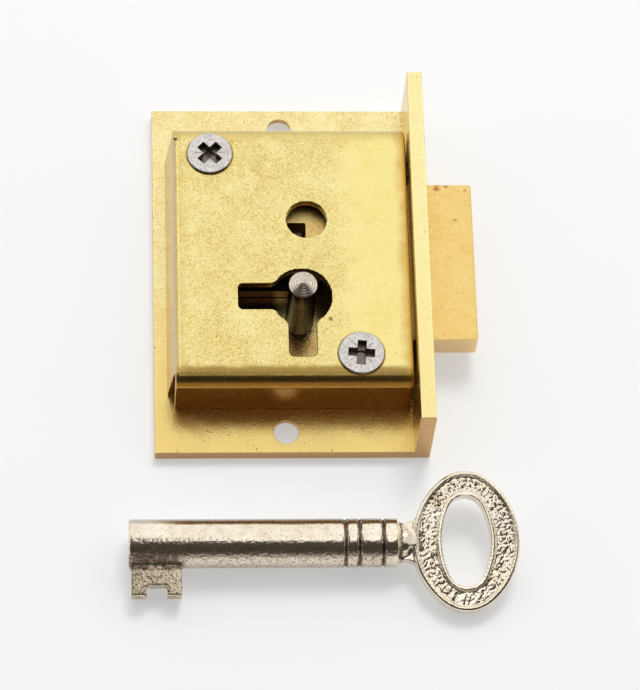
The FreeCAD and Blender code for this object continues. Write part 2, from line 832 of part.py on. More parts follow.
def lever(number):
    """Lever with its pivot boss, belly, gate between two pockets and slit for the spring."""
    piece = Piece(f"lever_{number + 1}", z=lever_floors[number])
    belly = lever_bellies[number]
    low = belly - s.belly_sag
    span = (belly * belly - low * low).root()
    blade = Path(
        (pivot_x, s.pivot_up - s.lever_boss),
        (-span, low),
        (s.lever_end, low),
        (s.lever_end, s.lever_top),
        (pivot_x + s.lever_shoulder, s.lever_top),
        (pivot_x, s.pivot_up + s.lever_boss),
    )
    piece.pad("blade", piece.sketch("blade_outline", "XY_Plane", 0, blade), s.lever_thick)
    boss = Circle(pivot_x, s.pivot_up, s.lever_boss)
    piece.pad("boss", piece.sketch("boss_outline", "XY_Plane", 0, boss), s.lever_thick)

    rear = stump_x - s.bolt_throw
    pocket_half = stump_half + s.pocket_gap
    throat = stump_half + s.gate_gap
    floor = s.stump_up - throat - swing_at(stump_x + pocket_half, s.lever_lift_angle)
    ceilings = [s.stump_up + throat + swing_at(x, s.lever_drop_angle) for x in (rear, stump_x)]
    gate = Path(
        (rear - pocket_half, floor),
        (rear + pocket_half, floor),
        (rear + pocket_half, s.stump_up - throat),
        (stump_x - pocket_half, s.stump_up - throat),
        (stump_x - pocket_half, floor),
        (stump_x + pocket_half, floor),
        (stump_x + pocket_half, ceilings[1]),
        (stump_x - pocket_half, ceilings[1]),
        (stump_x - pocket_half, s.stump_up + throat),
        (rear + pocket_half, s.stump_up + throat),
        (rear + pocket_half, ceilings[0]),
        (rear - pocket_half, ceilings[0]),
    )
    slit = s.leaf_thick / 2 + s.leaf_gap
    slit_x = s.leaf_hook_x - s.leaf_thick / 2
    cuts = (
        ("belly", [Circle(0, 0, belly)]),
        ("end", [Circle(pivot_x, s.pivot_up, radius) for radius in (lever_reach, lever_reach * 2)]),
        ("pivot_hole", [Circle(pivot_x, s.pivot_up, s.pivot_radius + s.pivot_gap)]),
        ("gate", [gate]),
        (
            "spring_slit",
            [box(slit_x - slit, s.lever_top - s.leaf_hook_depth, slit_x + slit, s.lever_top * 2)],
        ),
    )
    for name, outlines in cuts:
        drawn = piece.sketch(f"{name}_outline", "XY_Plane", s.lever_thick, *outlines)
        piece.pocket(name, drawn, s.lever_thick)
    corners = [
        Vector(x.value, y.value, 0)
        for x in (rear - pocket_half, rear + pocket_half, stump_x - pocket_half, stump_x + pocket_half)
        for y in (floor, *ceilings)
    ]
    piece.round_edges("pocket_corners", s.pocket_round, lambda edge: passes(edge, Z_AXIS, corners))
    return piece


def lever_spring(number):
    """Leaf that lies along a lever's top edge and curls up against the upper post."""
    piece = Piece(f"lever_spring_{number + 1}", z=lever_floors[number])
    curl_y = s.lever_top + s.leaf_gap + s.leaf_radius
    apart = s.leaf_radius + s.post_radius + s.leaf_gap
    post_x, post_y = RIVETED["cover_post_upper"]
    rise = curl_y - post_y
    curl_x = post_x + (apart * apart - rise * rise).root()
    inner = s.leaf_radius - s.leaf_thick
    tip = s.leaf_rise
    outline = Path(
        (curl_x - (s.leaf_radius * s.leaf_radius - tip * tip).root(), curl_y + tip, s.leaf_radius),
        (curl_x, curl_y - s.leaf_radius),
        (s.leaf_hook_x - s.leaf_thick, curl_y - s.leaf_radius),
        (s.leaf_hook_x - s.leaf_thick, s.lever_top - s.leaf_hook_depth + s.leaf_gap),
        (s.leaf_hook_x, s.lever_top - s.leaf_hook_depth + s.leaf_gap),
        (s.leaf_hook_x, curl_y - inner),
        (curl_x, curl_y - inner, -inner),
        (curl_x - (inner * inner - tip * tip).root(), curl_y + tip),
    )
    piece.pad("leaf", piece.sketch("leaf_outline", "XY_Plane", 0, outline), s.lever_thick)
    return piece


def key():
    """Hollow key: oval bow with raised rims, grooved shank, bored end and a stepped bit.

    It is drawn from the mouth of its bore at the origin, with the shank along X and the bit
    towards -Y, then rolled until its bow and its shank both rest on the plate's own level.
    """
    piece = Piece("key", -s.key_left, -s.key_down, s.shank_radius)
    half_x = s.bow_span / 2
    half_y = s.bow_width / 2
    bow_x = s.key_length - half_x
    face = s.bow_thick / 2

    def ring(inset):
        return oval(bow_x, half_x - inset, half_y - inset, s.bow_end_radius - inset)

    def window(growth):
        return oval(
            bow_x,
            s.hole_span / 2 + growth,
            s.hole_width / 2 + growth,
            s.hole_end_radius + growth,
        )

    plate = piece.sketch("bow_outline", "XY_Plane", 0, ring(Size.of(0)))
    piece.pad("bow", plate, s.bow_thick, symmetric=True)
    piece.round_edges("bow_edges", s.bow_round, lambda edge: not runs_along(edge, Z_AXIS))
    web_end = s.key_length - s.bow_span + s.bow_rim * 2
    web_length = web_end - shank_length
    web_flare = s.web_spread - s.web_half
    web_curve = (web_length * web_length + web_flare * web_flare).root() * s.web_curve_ratio
    web = Path(
        (shank_length - s.shank_round, -s.web_half),
        (shank_length, -s.web_half, -web_curve),
        (web_end, -s.web_spread),
        (web_end, s.web_spread, -web_curve),
        (shank_length, s.web_half),
        (shank_length - s.shank_round, s.web_half),
    )
    web_sketch = piece.sketch("web_outline", "XY_Plane", 0, web)
    piece.pad("web", web_sketch, s.bow_thick - s.bow_field * 2, symmetric=True)
    field = (ring(s.bow_rim), window(s.bow_rim))
    upper = piece.sketch("upper_field", "XY_Plane", face, *field)
    piece.pocket("upper_hollow", upper, s.bow_field)
    lower = piece.sketch("lower_field", "XY_Plane", -face, *field)
    piece.pocket("lower_hollow", lower, s.bow_field, upwards=True)

    shank = [(Size.of(0), Size.of(0)), (Size.of(0), s.shank_radius - s.shank_round / 2)]
    shank.append((s.shank_round / 2, s.shank_radius))
    for back in (s.groove_first, s.groove_second, s.groove_third):
        groove = shank_length - back
        shank.append((groove - s.groove_half, s.shank_radius))
        shank.append((groove, s.shank_radius - s.groove_depth))
        shank.append((groove + s.groove_half, s.shank_radius))
    shank.append((shank_length - s.shank_round, s.shank_radius))
    shank.append((shank_length, s.neck_radius))
    shank.append((shank_length + s.neck_length / 2, s.neck_radius - s.shank_round))
    shank.append((shank_length + s.neck_length, s.neck_end_radius))
    shank.append((shank_length + s.neck_length, Size.of(0)))
    profile = piece.sketch("shank_profile", "XY_Plane", 0, Path(*shank))
    piece.revolve("shank", profile, "H_Axis")

    notch_start = s.bit_start + s.bit_end_tooth
    notch_end = notch_start + s.bit_notch
    bit_end = notch_end + s.bit_rear_tooth
    root = -(s.shank_bore_radius + s.shank_radius) / 2
    bit = Path(
        (s.bit_start, root),
        (s.bit_start, -s.bit_reach),
        (notch_start, -s.bit_reach),
        (notch_start, -short_bit_reach),
        (notch_end, -short_bit_reach),
        (notch_end, -s.bit_reach),
        (bit_end, -s.bit_reach),
        (bit_end, root),
    )
    piece.pad("bit", piece.sketch("bit_outline", "XY_Plane", 0, bit), s.bit_thick, symmetric=True)
    tips = [Vector(0, -s.bit_reach.value, side * s.bit_thick.value / 2) for side in (-1, 1)]
    piece.round_edges("bit_tips", s.bit_round, lambda edge: passes(edge, X_AXIS, tips))

    hole = piece.sketch("bow_hole", "XY_Plane", face, window(Size.of(0)))
    piece.pocket("bow_opening", hole, s.bow_thick)
    drill_tip = s.shank_bore_depth + s.shank_bore_radius / 2
    bore = Path(
        (0, 0),
        (0, s.shank_bore_radius),
        (s.shank_bore_depth, s.shank_bore_radius),
        (drill_tip, 0),
    )
    piece.groove("bore", piece.sketch("bore_profile", "XY_Plane", 0, bore), "H_Axis")

    corner = (half_y * half_y + face * face).root()
    roll = (s.shank_radius / corner).arcsine() - (face / corner).arcsine()
    piece.turn(X_AXIS, roll)
    return piece


def check(pieces):
    """Stop if any object failed or any sub-part has no sound solid."""
    for item in document.Objects:
        faults = {"Invalid", "Error"} & set(item.State)
        if faults:
            raise RuntimeError(f"{item.Label}: {sorted(faults)}")
    for piece in pieces:
        shape = piece.body.Shape
        if shape.isNull() or not shape.isValid() or len(shape.Solids) != 1:
            raise RuntimeError(f"{piece.body.Label}: no sound solid")


pieces = [
    main_plate(),
    case_cover(),
    cover_post("cover_post_upper"),
    cover_post("cover_post_lower"),
    cover_screw("cover_screw_upper", "cover_post_upper", s.upper_screw_angle),
    cover_screw("cover_screw_lower", "cover_post_lower", s.lower_screw_angle),
    key_pin(),
    bolt(),
    bolt_stump(),
    bolt_guide_stud(),
    lever_pivot(),
    key(),
]
washer_floors = [shoulder_top] + [floor + s.lever_thick for floor in lever_floors]
pieces += [pivot_washer(number, floor) for number, floor in enumerate(washer_floors, start=1)]
pieces += [lever(number) for number in range(LEVERS)]
pieces += [lever_spring(number) for number in range(LEVERS)]
document.recompute()
check(pieces)

os.makedirs("parts", exist_ok=True)
for piece in pieces:
    piece.body.Shape.exportStep(f"parts/{piece.body.Label}.step")
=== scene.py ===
"""Looks of a cut cupboard lock and its hollow key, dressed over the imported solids.

Everything is in metres, in the frame of the solids. A size named _mm is in millimetres, and a
colour is given as it shows on a screen, from 0 to 255.
"""

import logging
import math
from dataclasses import dataclass
from enum import Enum
from typing import Any, Dict, List, Optional, Sequence, Tuple, Union

import bmesh
import bpy
from mathutils import Matrix, Vector, noise


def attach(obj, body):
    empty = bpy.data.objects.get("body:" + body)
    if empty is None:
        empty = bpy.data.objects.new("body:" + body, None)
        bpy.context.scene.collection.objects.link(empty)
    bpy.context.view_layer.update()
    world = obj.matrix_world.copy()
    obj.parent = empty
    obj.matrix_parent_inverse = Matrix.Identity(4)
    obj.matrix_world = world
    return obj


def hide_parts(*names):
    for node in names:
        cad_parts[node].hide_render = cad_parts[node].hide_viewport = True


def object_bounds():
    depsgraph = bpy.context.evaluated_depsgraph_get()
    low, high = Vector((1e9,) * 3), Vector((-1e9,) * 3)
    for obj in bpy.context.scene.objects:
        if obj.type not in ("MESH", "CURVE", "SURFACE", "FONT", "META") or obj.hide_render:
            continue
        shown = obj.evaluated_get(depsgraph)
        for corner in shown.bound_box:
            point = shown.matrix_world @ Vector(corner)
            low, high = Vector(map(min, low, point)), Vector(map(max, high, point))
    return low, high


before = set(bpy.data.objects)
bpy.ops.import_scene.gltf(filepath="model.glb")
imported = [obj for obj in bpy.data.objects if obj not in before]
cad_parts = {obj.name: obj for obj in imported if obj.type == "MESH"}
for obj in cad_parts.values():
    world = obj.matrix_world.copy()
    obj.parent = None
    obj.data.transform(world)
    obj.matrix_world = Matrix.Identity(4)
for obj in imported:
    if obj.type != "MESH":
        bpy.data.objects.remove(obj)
SOLID_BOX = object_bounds()

LOG = logging.getLogger("lock")
MM = 0.001
SAME_PLACE = 1e-6

Colour = Tuple[float, float, float]
Point = Tuple[float, float, float]
Span = Tuple[float, float]
Value = Union[float, "Signal"]

# Dark brown painted shade for parts that lie inside the case.
INNER_SHADE: Colour = (70, 46, 24)


def linear(colour: Colour) -> Tuple[float, float, float, float]:
    """Turns a display colour into a linear one.

    Args:
        colour: red, green and blue from 0 to 255, as they show on a screen.

    Returns:
        The same colour in linear light, with full opacity.
    """
    shares = [c / 255 for c in colour]
    parts = [s / 12.92 if s <= 0.04045 else ((s + 0.055) / 1.055) ** 2.4 for s in shares]
    return (parts[0], parts[1], parts[2], 1.0)


def climb(value: float, start: float, length: float) -> float:
    """Climbs evenly from 0 at a start to 1 after a length, held between the two."""
    return min(1.0, max(0.0, (value - start) / length))


class Signal:
    """A number, vector or colour on its way through a material, with the maths done on it."""

    def __init__(self, shader: "Shader", socket: bpy.types.NodeSocket) -> None:
        """Keeps the socket and the material that it belongs to."""
        self.shader = shader
        self.socket = socket

    def __add__(self, other: Value) -> "Signal":
        """Adds a value."""
        return self.shader.math("ADD", self, other)

    def __radd__(self, other: Value) -> "Signal":
        """Adds this to a value."""
        return self.shader.math("ADD", other, self)

    def __sub__(self, other: Value) -> "Signal":
        """Takes a value away."""
        return self.shader.math("SUBTRACT", self, other)

    def __rsub__(self, other: Value) -> "Signal":
        """Takes this away from a value."""
        return self.shader.math("SUBTRACT", other, self)

    def __mul__(self, other: Value) -> "Signal":
        """Multiplies by a value."""
        return self.shader.math("MULTIPLY", self, other)

    def __rmul__(self, other: Value) -> "Signal":
        """Multiplies a value by this."""
        return self.shader.math("MULTIPLY", other, self)

    def root(self) -> "Signal":
        """Takes the square root."""
        return self.shader.math("POWER", self, 0.5)

    def size(self) -> "Signal":
        """Drops the sign."""
        return self.shader.math("ABSOLUTE", self)

    def most(self, other: Value) -> "Signal":
        """The higher of two values."""
        return self.shader.math("MAXIMUM", self, other)

    def rise(self, low: float, high: float) -> "Signal":
        """Climbs smoothly from 0 at one value to 1 at another.

        Args:
            low: the value that gives 0.
            high: the value that gives 1; below low, the climb runs backwards.

        Returns:
            The climbed share, held between 0 and 1.
        """
        settings = {"interpolation_type": "SMOOTHSTEP"}
        ends = {"Value": self, "From Min": low, "From Max": high}
        if high < low:
            ends = {"Value": self, "From Min": high, "From Max": low, "To Min": 1.0, "To Max": 0.0}
        return self.shader.signal("ShaderNodeMapRange", settings, ends)

    def between(self, low: float, high: float, soft: float) -> "Signal":
        """1 from one value to another, fading to 0 over a soft margin outside them."""
        return self.rise(low - soft, low) * self.rise(high + soft, high)


class Shader:
    """One procedural material, built from nodes in object coordinates."""

    def __init__(self, name: str) -> None:
        """Starts an empty material and its millimetre coordinates.

        Args:
            name: the material's name.
        """
        self.material = bpy.data.materials.new(name)
        self.material.use_nodes = True
        self.tree = self.material.node_tree
        self.tree.nodes.clear()
        place = self.node("ShaderNodeTexCoord")
        self.normal = Signal(self, place.outputs["Normal"])
        scaling = {0: place.outputs["Object"], "Scale": 1 / MM}
        self.at = self.signal("ShaderNodeVectorMath", {"operation": "SCALE"}, scaling)
        self.x, self.y, self.z = self.split(self.at)

    def node(
        self,
        kind: str,
        settings: Optional[Dict[str, Any]] = None,
        inputs: Optional[Dict[Union[str, int], Any]] = None,
    ) -> bpy.types.Node:
        """Adds a node.

        Args:
            kind: the node's type.
            settings: its own settings; "stops" are a ramp's places and colours.
            inputs: values, sockets or signals for its inputs, by name or number.

        Returns:
            The node.
        """
        made = self.tree.nodes.new(kind)
        for name, setting in (settings or {}).items():
            if name == "stops":
                elements = made.color_ramp.elements
                while len(elements) < len(setting):
                    elements.new(0.5)
                for element, (place, colour) in zip(elements, setting):
                    element.position = place
                    element.color = colour
            else:
                setattr(made, name, setting)
        for name, given in (inputs or {}).items():
            source = given.socket if isinstance(given, Signal) else given
            if isinstance(source, bpy.types.NodeSocket):
                self.tree.links.new(source, made.inputs[name])
            else:
                made.inputs[name].default_value = source
        return made

    def signal(
        self,
        kind: str,
        settings: Optional[Dict[str, Any]] = None,
        inputs: Optional[Dict[Union[str, int], Any]] = None,
        output: Union[str, int] = 0,
    ) -> Signal:
        """Adds a node and gives one of its outputs as a signal.

        Args:
            kind: the node's type.
            settings: its own settings.
            inputs: values, sockets or signals for its inputs.
            output: the output's name or number.

        Returns:
            The output.
        """
        return Signal(self, self.node(kind, settings, inputs).outputs[output])

    def math(self, operation: str, *values: Value) -> Signal:
        """Adds a Math node on one or two values."""
        return self.signal("ShaderNodeMath", {"operation": operation}, dict(enumerate(values)))

    def split(self, vector: Signal) -> Tuple[Signal, Signal, Signal]:
        """Takes a vector apart into its three numbers."""
        parts = self.node("ShaderNodeSeparateXYZ", None, {0: vector})
        return tuple(Signal(self, output) for output in parts.outputs)

    def stretched(self, scale: Point) -> Signal:
        """The place on the piece, stretched along each axis."""
        return self.signal("ShaderNodeVectorMath", {"operation": "MULTIPLY"}, {0: self.at, 1: scale})

    def mix(self, share: Value, first: Any, second: Any) -> Signal:
        """Blends two colours.

        Args:
            share: how much of the second, from 0 to 1.
            first: a colour signal or a linear colour.
            second: a colour signal or a linear colour.

        Returns:
            The blended colour.
        """
        settings = {"data_type": "RGBA", "clamp_factor": True}
        return self.signal("ShaderNodeMix", settings, {0: share, 6: first, 7: second}, 2)

    def cloud(
        self,
        grain_mm: float,
        detail: float = 3.0,
        coarse: float = 0.55,
        warp: float = 0.0,
        at: Optional[Signal] = None,
    ) -> Signal:
        """Cloudy noise from 0 to 1.

        Args:
            grain_mm: how far across its lumps are.
            detail: how many finer layers lie on them.
            coarse: how strong those layers are.
            warp: how far the lumps are bent.
            at: the place to read it at, if not the place on the piece.

        Returns:
            The noise.
        """
        inputs = {
            "Vector": at or self.at,
            "Scale": 1 / grain_mm,
            "Detail": detail,
            "Roughness": coarse,
            "Distortion": warp,
        }
        return self.signal("ShaderNodeTexNoise", None, inputs, "Fac")

    def cells(self, cell_mm: float) -> Signal:
        """Distance from the middle of scattered cells about cell_mm across."""
        inputs = {"Vector": self.at, "Scale": 1 / cell_mm}
        return self.signal("ShaderNodeTexVoronoi", None, inputs, "Distance")

    def ramp(self, value: Signal, stops: Sequence[float], colours: Sequence[Colour]) -> Signal:
        """A colour that follows a value, with one display colour for each stop."""
        shown = [(stop, linear(colour)) for stop, colour in zip(stops, colours)]
        return self.signal("ShaderNodeValToRGB", {"stops": shown}, {0: value})

    def bumped(self, height: Signal, depth_mm: float, under: Optional[Signal] = None) -> Signal:
        """A normal that follows a height from 0 to 1.

        Args:
            height: the height over the surface.
            depth_mm: how deep a height of 1 is.
            under: the normal that it is laid on.

        Returns:
            The normal.
        """
        inputs: Dict[Union[str, int], Any] = {"Height": height, "Strength": 1.0, "Distance": depth_mm * MM}
        if under is not None:
            inputs["Normal"] = under
        return self.signal("ShaderNodeBump", None, inputs)

    def metal(self, colour: Signal, rough: Signal, normal: Signal) -> bpy.types.Material:
        """Closes the material as bare metal.

        Args:
            colour: the metal's colour.
            rough: its roughness.
            normal: the normal of its surface.

        Returns:
            The material.
        """
        surface = {"Base Color": colour, "Metallic": 1.0, "Roughness": rough, "Normal": normal}
        shader = self.node("ShaderNodeBsdfPrincipled", None, surface)
        self.node("ShaderNodeOutputMaterial", None, {"Surface": shader.outputs[0]})
        return self.material


class Axis(Enum):
    """A direction in the lock's frame."""

    X = 0
    Y = 1
    Z = 2


@dataclass(frozen=True)
class MarkOrShade:
    """A small spot at a place in millimetres: a real mark, or a patch of painted shade or painted light."""

    at_mm: Point
    radius_mm: float
    colour: Colour
    strength: float = 0.8
    ragged: float = 1.4
    soft: float = 0.7
    crumb_size: float = 0.5

    def mask(self, shader: Shader) -> Signal:
        """Where the spot lies, ragged at its edge.

        Args:
            shader: the material.

        Returns:
            Its mask.
        """
        x, y, z = (along - at for along, at in zip((shader.x, shader.y, shader.z), self.at_mm))
        uneven = shader.cloud(self.radius_mm * self.crumb_size) - 0.5
        far = (x * x + y * y + z * z).root() + uneven * (self.radius_mm * self.ragged)
        return far.rise(self.radius_mm, self.radius_mm * (1 - self.soft)) * self.strength


@dataclass(frozen=True)
class Fade:
    """A tint that comes in along an axis, from one place in millimetres to another."""

    axis: Axis
    start_mm: float
    full_mm: float
    colour: Colour
    share: float = 0.5
    until_mm: Optional[float] = None
    until_soft_mm: float = 0.5
    across_mm: Optional[Span] = None
    across_soft_mm: float = 1.5
    uneven_mm: float = 3.0

    def mask(self, shader: Shader) -> Signal:
        """Where the tint lies, a little uneven.

        Args:
            shader: the material.

        Returns:
            Its mask.
        """
        along = (shader.x, shader.y, shader.z)[self.axis.value]
        uneven = (shader.cloud(self.uneven_mm) - 0.5) * (self.full_mm - self.start_mm)
        tinted = (along + uneven).rise(self.start_mm, self.full_mm) * self.share
        if self.until_mm is not None:
            tinted = tinted * along.rise(self.until_mm + self.until_soft_mm, self.until_mm)
        if self.across_mm is not None:
            tinted = tinted * shader.x.between(*self.across_mm, self.across_soft_mm)
        return tinted


@dataclass(frozen=True)
class Pitting:
    """Dark pits in sparse groups, with finer specks between them."""

    strength: float = 0.5
    colour: Colour = (92, 66, 30)
    pit_mm: float = 1.1
    pit_edge: Span = (0.17, 0.05)
    group_mm: float = 2.86
    group_edge: Span = (0.5, 0.62)
    speck_mm: float = 0.462
    speck_edge: Span = (0.16, 0.06)
    speck_share: float = 0.45

    def mask(self, shader: Shader) -> Signal:
        """Where the pits and specks lie.

        Args:
            shader: the material.

        Returns:
            Their mask.
        """
        groups = shader.cloud(self.group_mm, detail=2.0).rise(*self.group_edge)
        pits = shader.cells(self.pit_mm).rise(*self.pit_edge) * groups * self.strength
        specks = shader.cells(self.speck_mm).rise(*self.speck_edge) * self.speck_share * self.strength
        return pits.most(specks)


@dataclass(frozen=True)
class Crackle:
    """Fine dark worm lines and flecks of old lacquer, weaker from some place on along X."""

    strength: float
    smooth_from_mm: Optional[float] = None
    smooth_over_mm: float = 6.0
    smooth_left: float = 0.25
    worm_mm: float = 0.55
    worm_edge: Span = (0.5, 0.56)
    worm_share: float = 0.55
    fleck_mm: float = 0.26
    fleck_edge: Span = (0.52, 0.58)
    fleck_share: float = 0.95
    darkens: float = 0.2
    pales: float = 0.05

    def shade(self, shader: Shader) -> Signal:
        """How much darker the tone gets, and a little paler between the marks.

        Args:
            shader: the material.

        Returns:
            What comes off the tone.
        """
        worms = shader.cloud(self.worm_mm, detail=5.0, coarse=0.8, warp=2.2).rise(*self.worm_edge)
        flecks = shader.cloud(self.fleck_mm, detail=3.0, coarse=0.8, warp=1.0).rise(*self.fleck_edge)
        marks = worms * self.worm_share + flecks * self.fleck_share
        if self.smooth_from_mm is not None:
            worn = shader.x.rise(self.smooth_from_mm + self.smooth_over_mm, self.smooth_from_mm)
            marks = marks * (worn * (1 - self.smooth_left) + self.smooth_left)
        return marks * (self.darkens * self.strength) - self.pales * self.strength


@dataclass(frozen=True)
class Brass:
    """Brass with patina in patches, fine grain, dark pits and milled or rolled lines."""

    name: str
    pale: Colour
    body: Colour
    dark: Colour
    patch_mm: float = 5.0
    patch_depth_mm: float = 0.02
    blotch: float = 1.0
    grain_mm: float = 0.28
    grain: float = 0.5
    grain_depth_mm: float = 0.012
    line_mm: float = 0.16
    lines: Point = (1.0, 1.0, 1.0)
    line_strength: float = 0.3
    rough: Span = (0.26, 0.42)
    left_face_shade: Optional[Colour] = None
    near_face_shade: Optional[Colour] = None
    pitting: Pitting = Pitting()
    crackle: Optional[Crackle] = None
    fades: Tuple[Fade, ...] = ()
    marks_and_shade: Tuple[MarkOrShade, ...] = ()
    patch_share: float = 0.5
    vein_size: float = 0.22
    vein_share: float = 0.32
    grain_share: float = 0.36
    line_share: float = 0.4
    contrast: float = 2.1
    stops: Point = (0.12, 0.5, 0.85)
    face_turn: Span = (0.45, 0.92)
    face_share: float = 0.9
    dull_patches: Span = (0.3, 0.7)
    dirt_rough: float = 0.25
    grain_rough: float = 0.1
    dirt_depth: float = 1.2
    vein_relief: float = 0.5

    def shade(self, shader: Shader, patches: Signal, veins: Signal, grain: Signal, lines: Signal) -> Signal:
        """How pale the brass is.

        Args:
            shader: the material.
            patches: cloud of the broad patches.
            veins: cloud of the veins in them.
            grain: cloud of the fine grain.
            lines: cloud of the milled or rolled lines.

        Returns:
            The shade, about 0.5 on average.
        """
        weights = (
            self.patch_share * self.blotch,
            self.vein_share * self.blotch,
            self.grain_share * self.grain,
            self.line_share * self.line_strength,
        )
        tone = patches * weights[0] + veins * weights[1] + grain * weights[2] + lines * weights[3]
        if self.crackle is not None:
            tone = tone - self.crackle.shade(shader)
        return (tone - sum(weights) / 2) * self.contrast + 0.5

    def tinted(self, shader: Shader, colour: Signal) -> Signal:
        """Lays the fades over the brass, among them painted shade and highlights, and then the painted
        shade of its left and near faces.

        Args:
            shader: the material.
            colour: the colour of the brass.

        Returns:
            The tinted colour.
        """
        for fade in self.fades:
            colour = shader.mix(fade.mask(shader), colour, linear(fade.colour))
        # Painted shade: faces turned to the left and to the near side take a darker tint.
        for facing, tint in zip(shader.split(shader.normal), (self.left_face_shade, self.near_face_shade)):
            if tint is not None:
                turned = (facing * -1.0).rise(*self.face_turn) * self.face_share
                colour = shader.mix(turned, colour, linear(tint))
        return colour

    def material(self) -> bpy.types.Material:
        """Builds the finish.

        Returns:
            The material.
        """
        sh = Shader(self.name)
        patches = sh.cloud(self.patch_mm, detail=4.0, coarse=0.6, warp=0.4)
        veins = sh.cloud(self.patch_mm * self.vein_size, detail=5.0, coarse=0.65, warp=1.2)
        grain = sh.cloud(self.grain_mm, detail=2.0, coarse=0.7)
        lines = sh.cloud(self.line_mm, detail=2.0, coarse=0.6, at=sh.stretched(self.lines))
        dirt = self.pitting.mask(sh)
        shade = self.shade(sh, patches, veins, grain, lines)
        colour = sh.ramp(shade, self.stops, (self.dark, self.body, self.pale))
        colour = self.tinted(sh, colour)
        colour = sh.mix(dirt, colour, linear(self.pitting.colour))
        for mark_or_shade in self.marks_and_shade:
            colour = sh.mix(mark_or_shade.mask(sh), colour, linear(mark_or_shade.colour))
        smooth, rough = self.rough
        worn = patches.rise(*self.dull_patches) * (rough - smooth) + smooth
        worn = worn + dirt * self.dirt_rough + (grain - 0.5) * self.grain_rough
        relief = grain * self.grain + lines * self.line_strength - dirt * self.dirt_depth
        normal = sh.bumped(relief, self.grain_depth_mm)
        normal = sh.bumped(patches + veins * self.vein_relief, self.patch_depth_mm, normal)
        return sh.metal(colour, worn, normal)


@dataclass(frozen=True)
class GreySteel:
    """Grey metal: zinc plate with mottled spots, or steel turned in rings about the pin's axis, with
    painted shade below a given height.
    """

    name: str
    pale: Colour
    dark: Colour
    spot_mm: float = 0.5
    fine_size: float = 0.25
    mottle_share: float = 0.7
    stops: Span = (0.28, 0.6)
    turned: bool = False
    ring_turn: float = 15.0
    ring_shake: float = 1.5
    ring_share: float = 0.25
    ring_relief: float = 0.7
    rough: Span = (0.3, 0.45)
    relief_mm: float = 0.008
    shade_below_mm: Optional[float] = None
    shade_soft_mm: float = 0.3
    shade_share: float = 0.85
    shade_colour: Colour = (104, 90, 78)

    def rings(self, shader: Shader, mottle: Signal) -> Signal:
        """The lathe's rings, from 0 to 1, a little shaken by the mottle."""
        out = (shader.x * shader.x + shader.y * shader.y).root()
        return shader.math("SINE", out * self.ring_turn + mottle * self.ring_shake) * 0.5 + 0.5

    def material(self) -> bpy.types.Material:
        """Builds the finish.

        Returns:
            The material.
        """
        sh = Shader(self.name)
        mottle = sh.cloud(self.spot_mm, detail=4.0, coarse=0.7, warp=0.6)
        fine = sh.cloud(self.spot_mm * self.fine_size, detail=2.0, coarse=0.7)
        tone = mottle * self.mottle_share + fine * (1 - self.mottle_share)
        relief = fine
        if self.turned:
            rings = self.rings(sh, mottle)
            tone = tone * (1 - self.ring_share) + rings * self.ring_share
            relief = rings * self.ring_relief + fine * (1 - self.ring_relief)
        colour = sh.ramp(tone, self.stops, (self.dark, self.pale))
        # Painted shade: darker below a height, in the screws' recesses and down the pin's shaft.
        if self.shade_below_mm is not None:
            shaded = sh.z.rise(self.shade_below_mm, self.shade_below_mm - self.shade_soft_mm)
            colour = sh.mix(shaded * self.shade_share, colour, linear(self.shade_colour))
        smooth, rough = self.rough
        worn = mottle * (rough - smooth) + smooth
        return sh.metal(colour, worn, sh.bumped(relief, self.relief_mm))


@dataclass(frozen=True)
class Speckle:
    """Marks of one size on the key: rounded ones, or the ragged ones of a rough cloud.

    The shares say how much of them its low side, its bit and every place carry.
    """

    size_mm: float
    edge: Span
    rounded: bool = False
    coarse: float = 0.8
    warp: float = 0.0
    on_low: float = 0.0
    on_bit: float = 0.0
    anywhere: float = 0.0

    def mask(self, shader: Shader, low: Signal, bit: Signal) -> Signal:
        """Where the marks lie.

        Args:
            shader: the material.
            low: where the shank faces the bit's side.
            bit: where the bit is.

        Returns:
            Their mask.
        """
        if self.rounded:
            spots = shader.cells(self.size_mm)
        else:
            spots = shader.cloud(self.size_mm, detail=4.0, coarse=self.coarse, warp=self.warp)
        share: Value = self.anywhere
        for where, part in ((low, self.on_low), (bit, self.on_bit)):
            if part > 0:
                share = where * part + share
        return spots.rise(*self.edge) * share


@dataclass(frozen=True)
class StainRing:
    """Brown tarnish in a ring round the shank, ragged at its edges."""

    shake_mm: float
    edge_mm: Span
    share: float

    def mask(self, along: Signal, at_mm: float, crumbs: Signal) -> Signal:
        """Where the ring at a place along the key lies."""
        return ((along - at_mm).size() + crumbs * self.shake_mm).rise(*self.edge_mm) * self.share


@dataclass(frozen=True)
class Tint:
    """A colour that part of the key has, how much of it, and how much rougher it is there."""

    colour: Colour
    share: float = 1.0
    rougher: float = 0.0


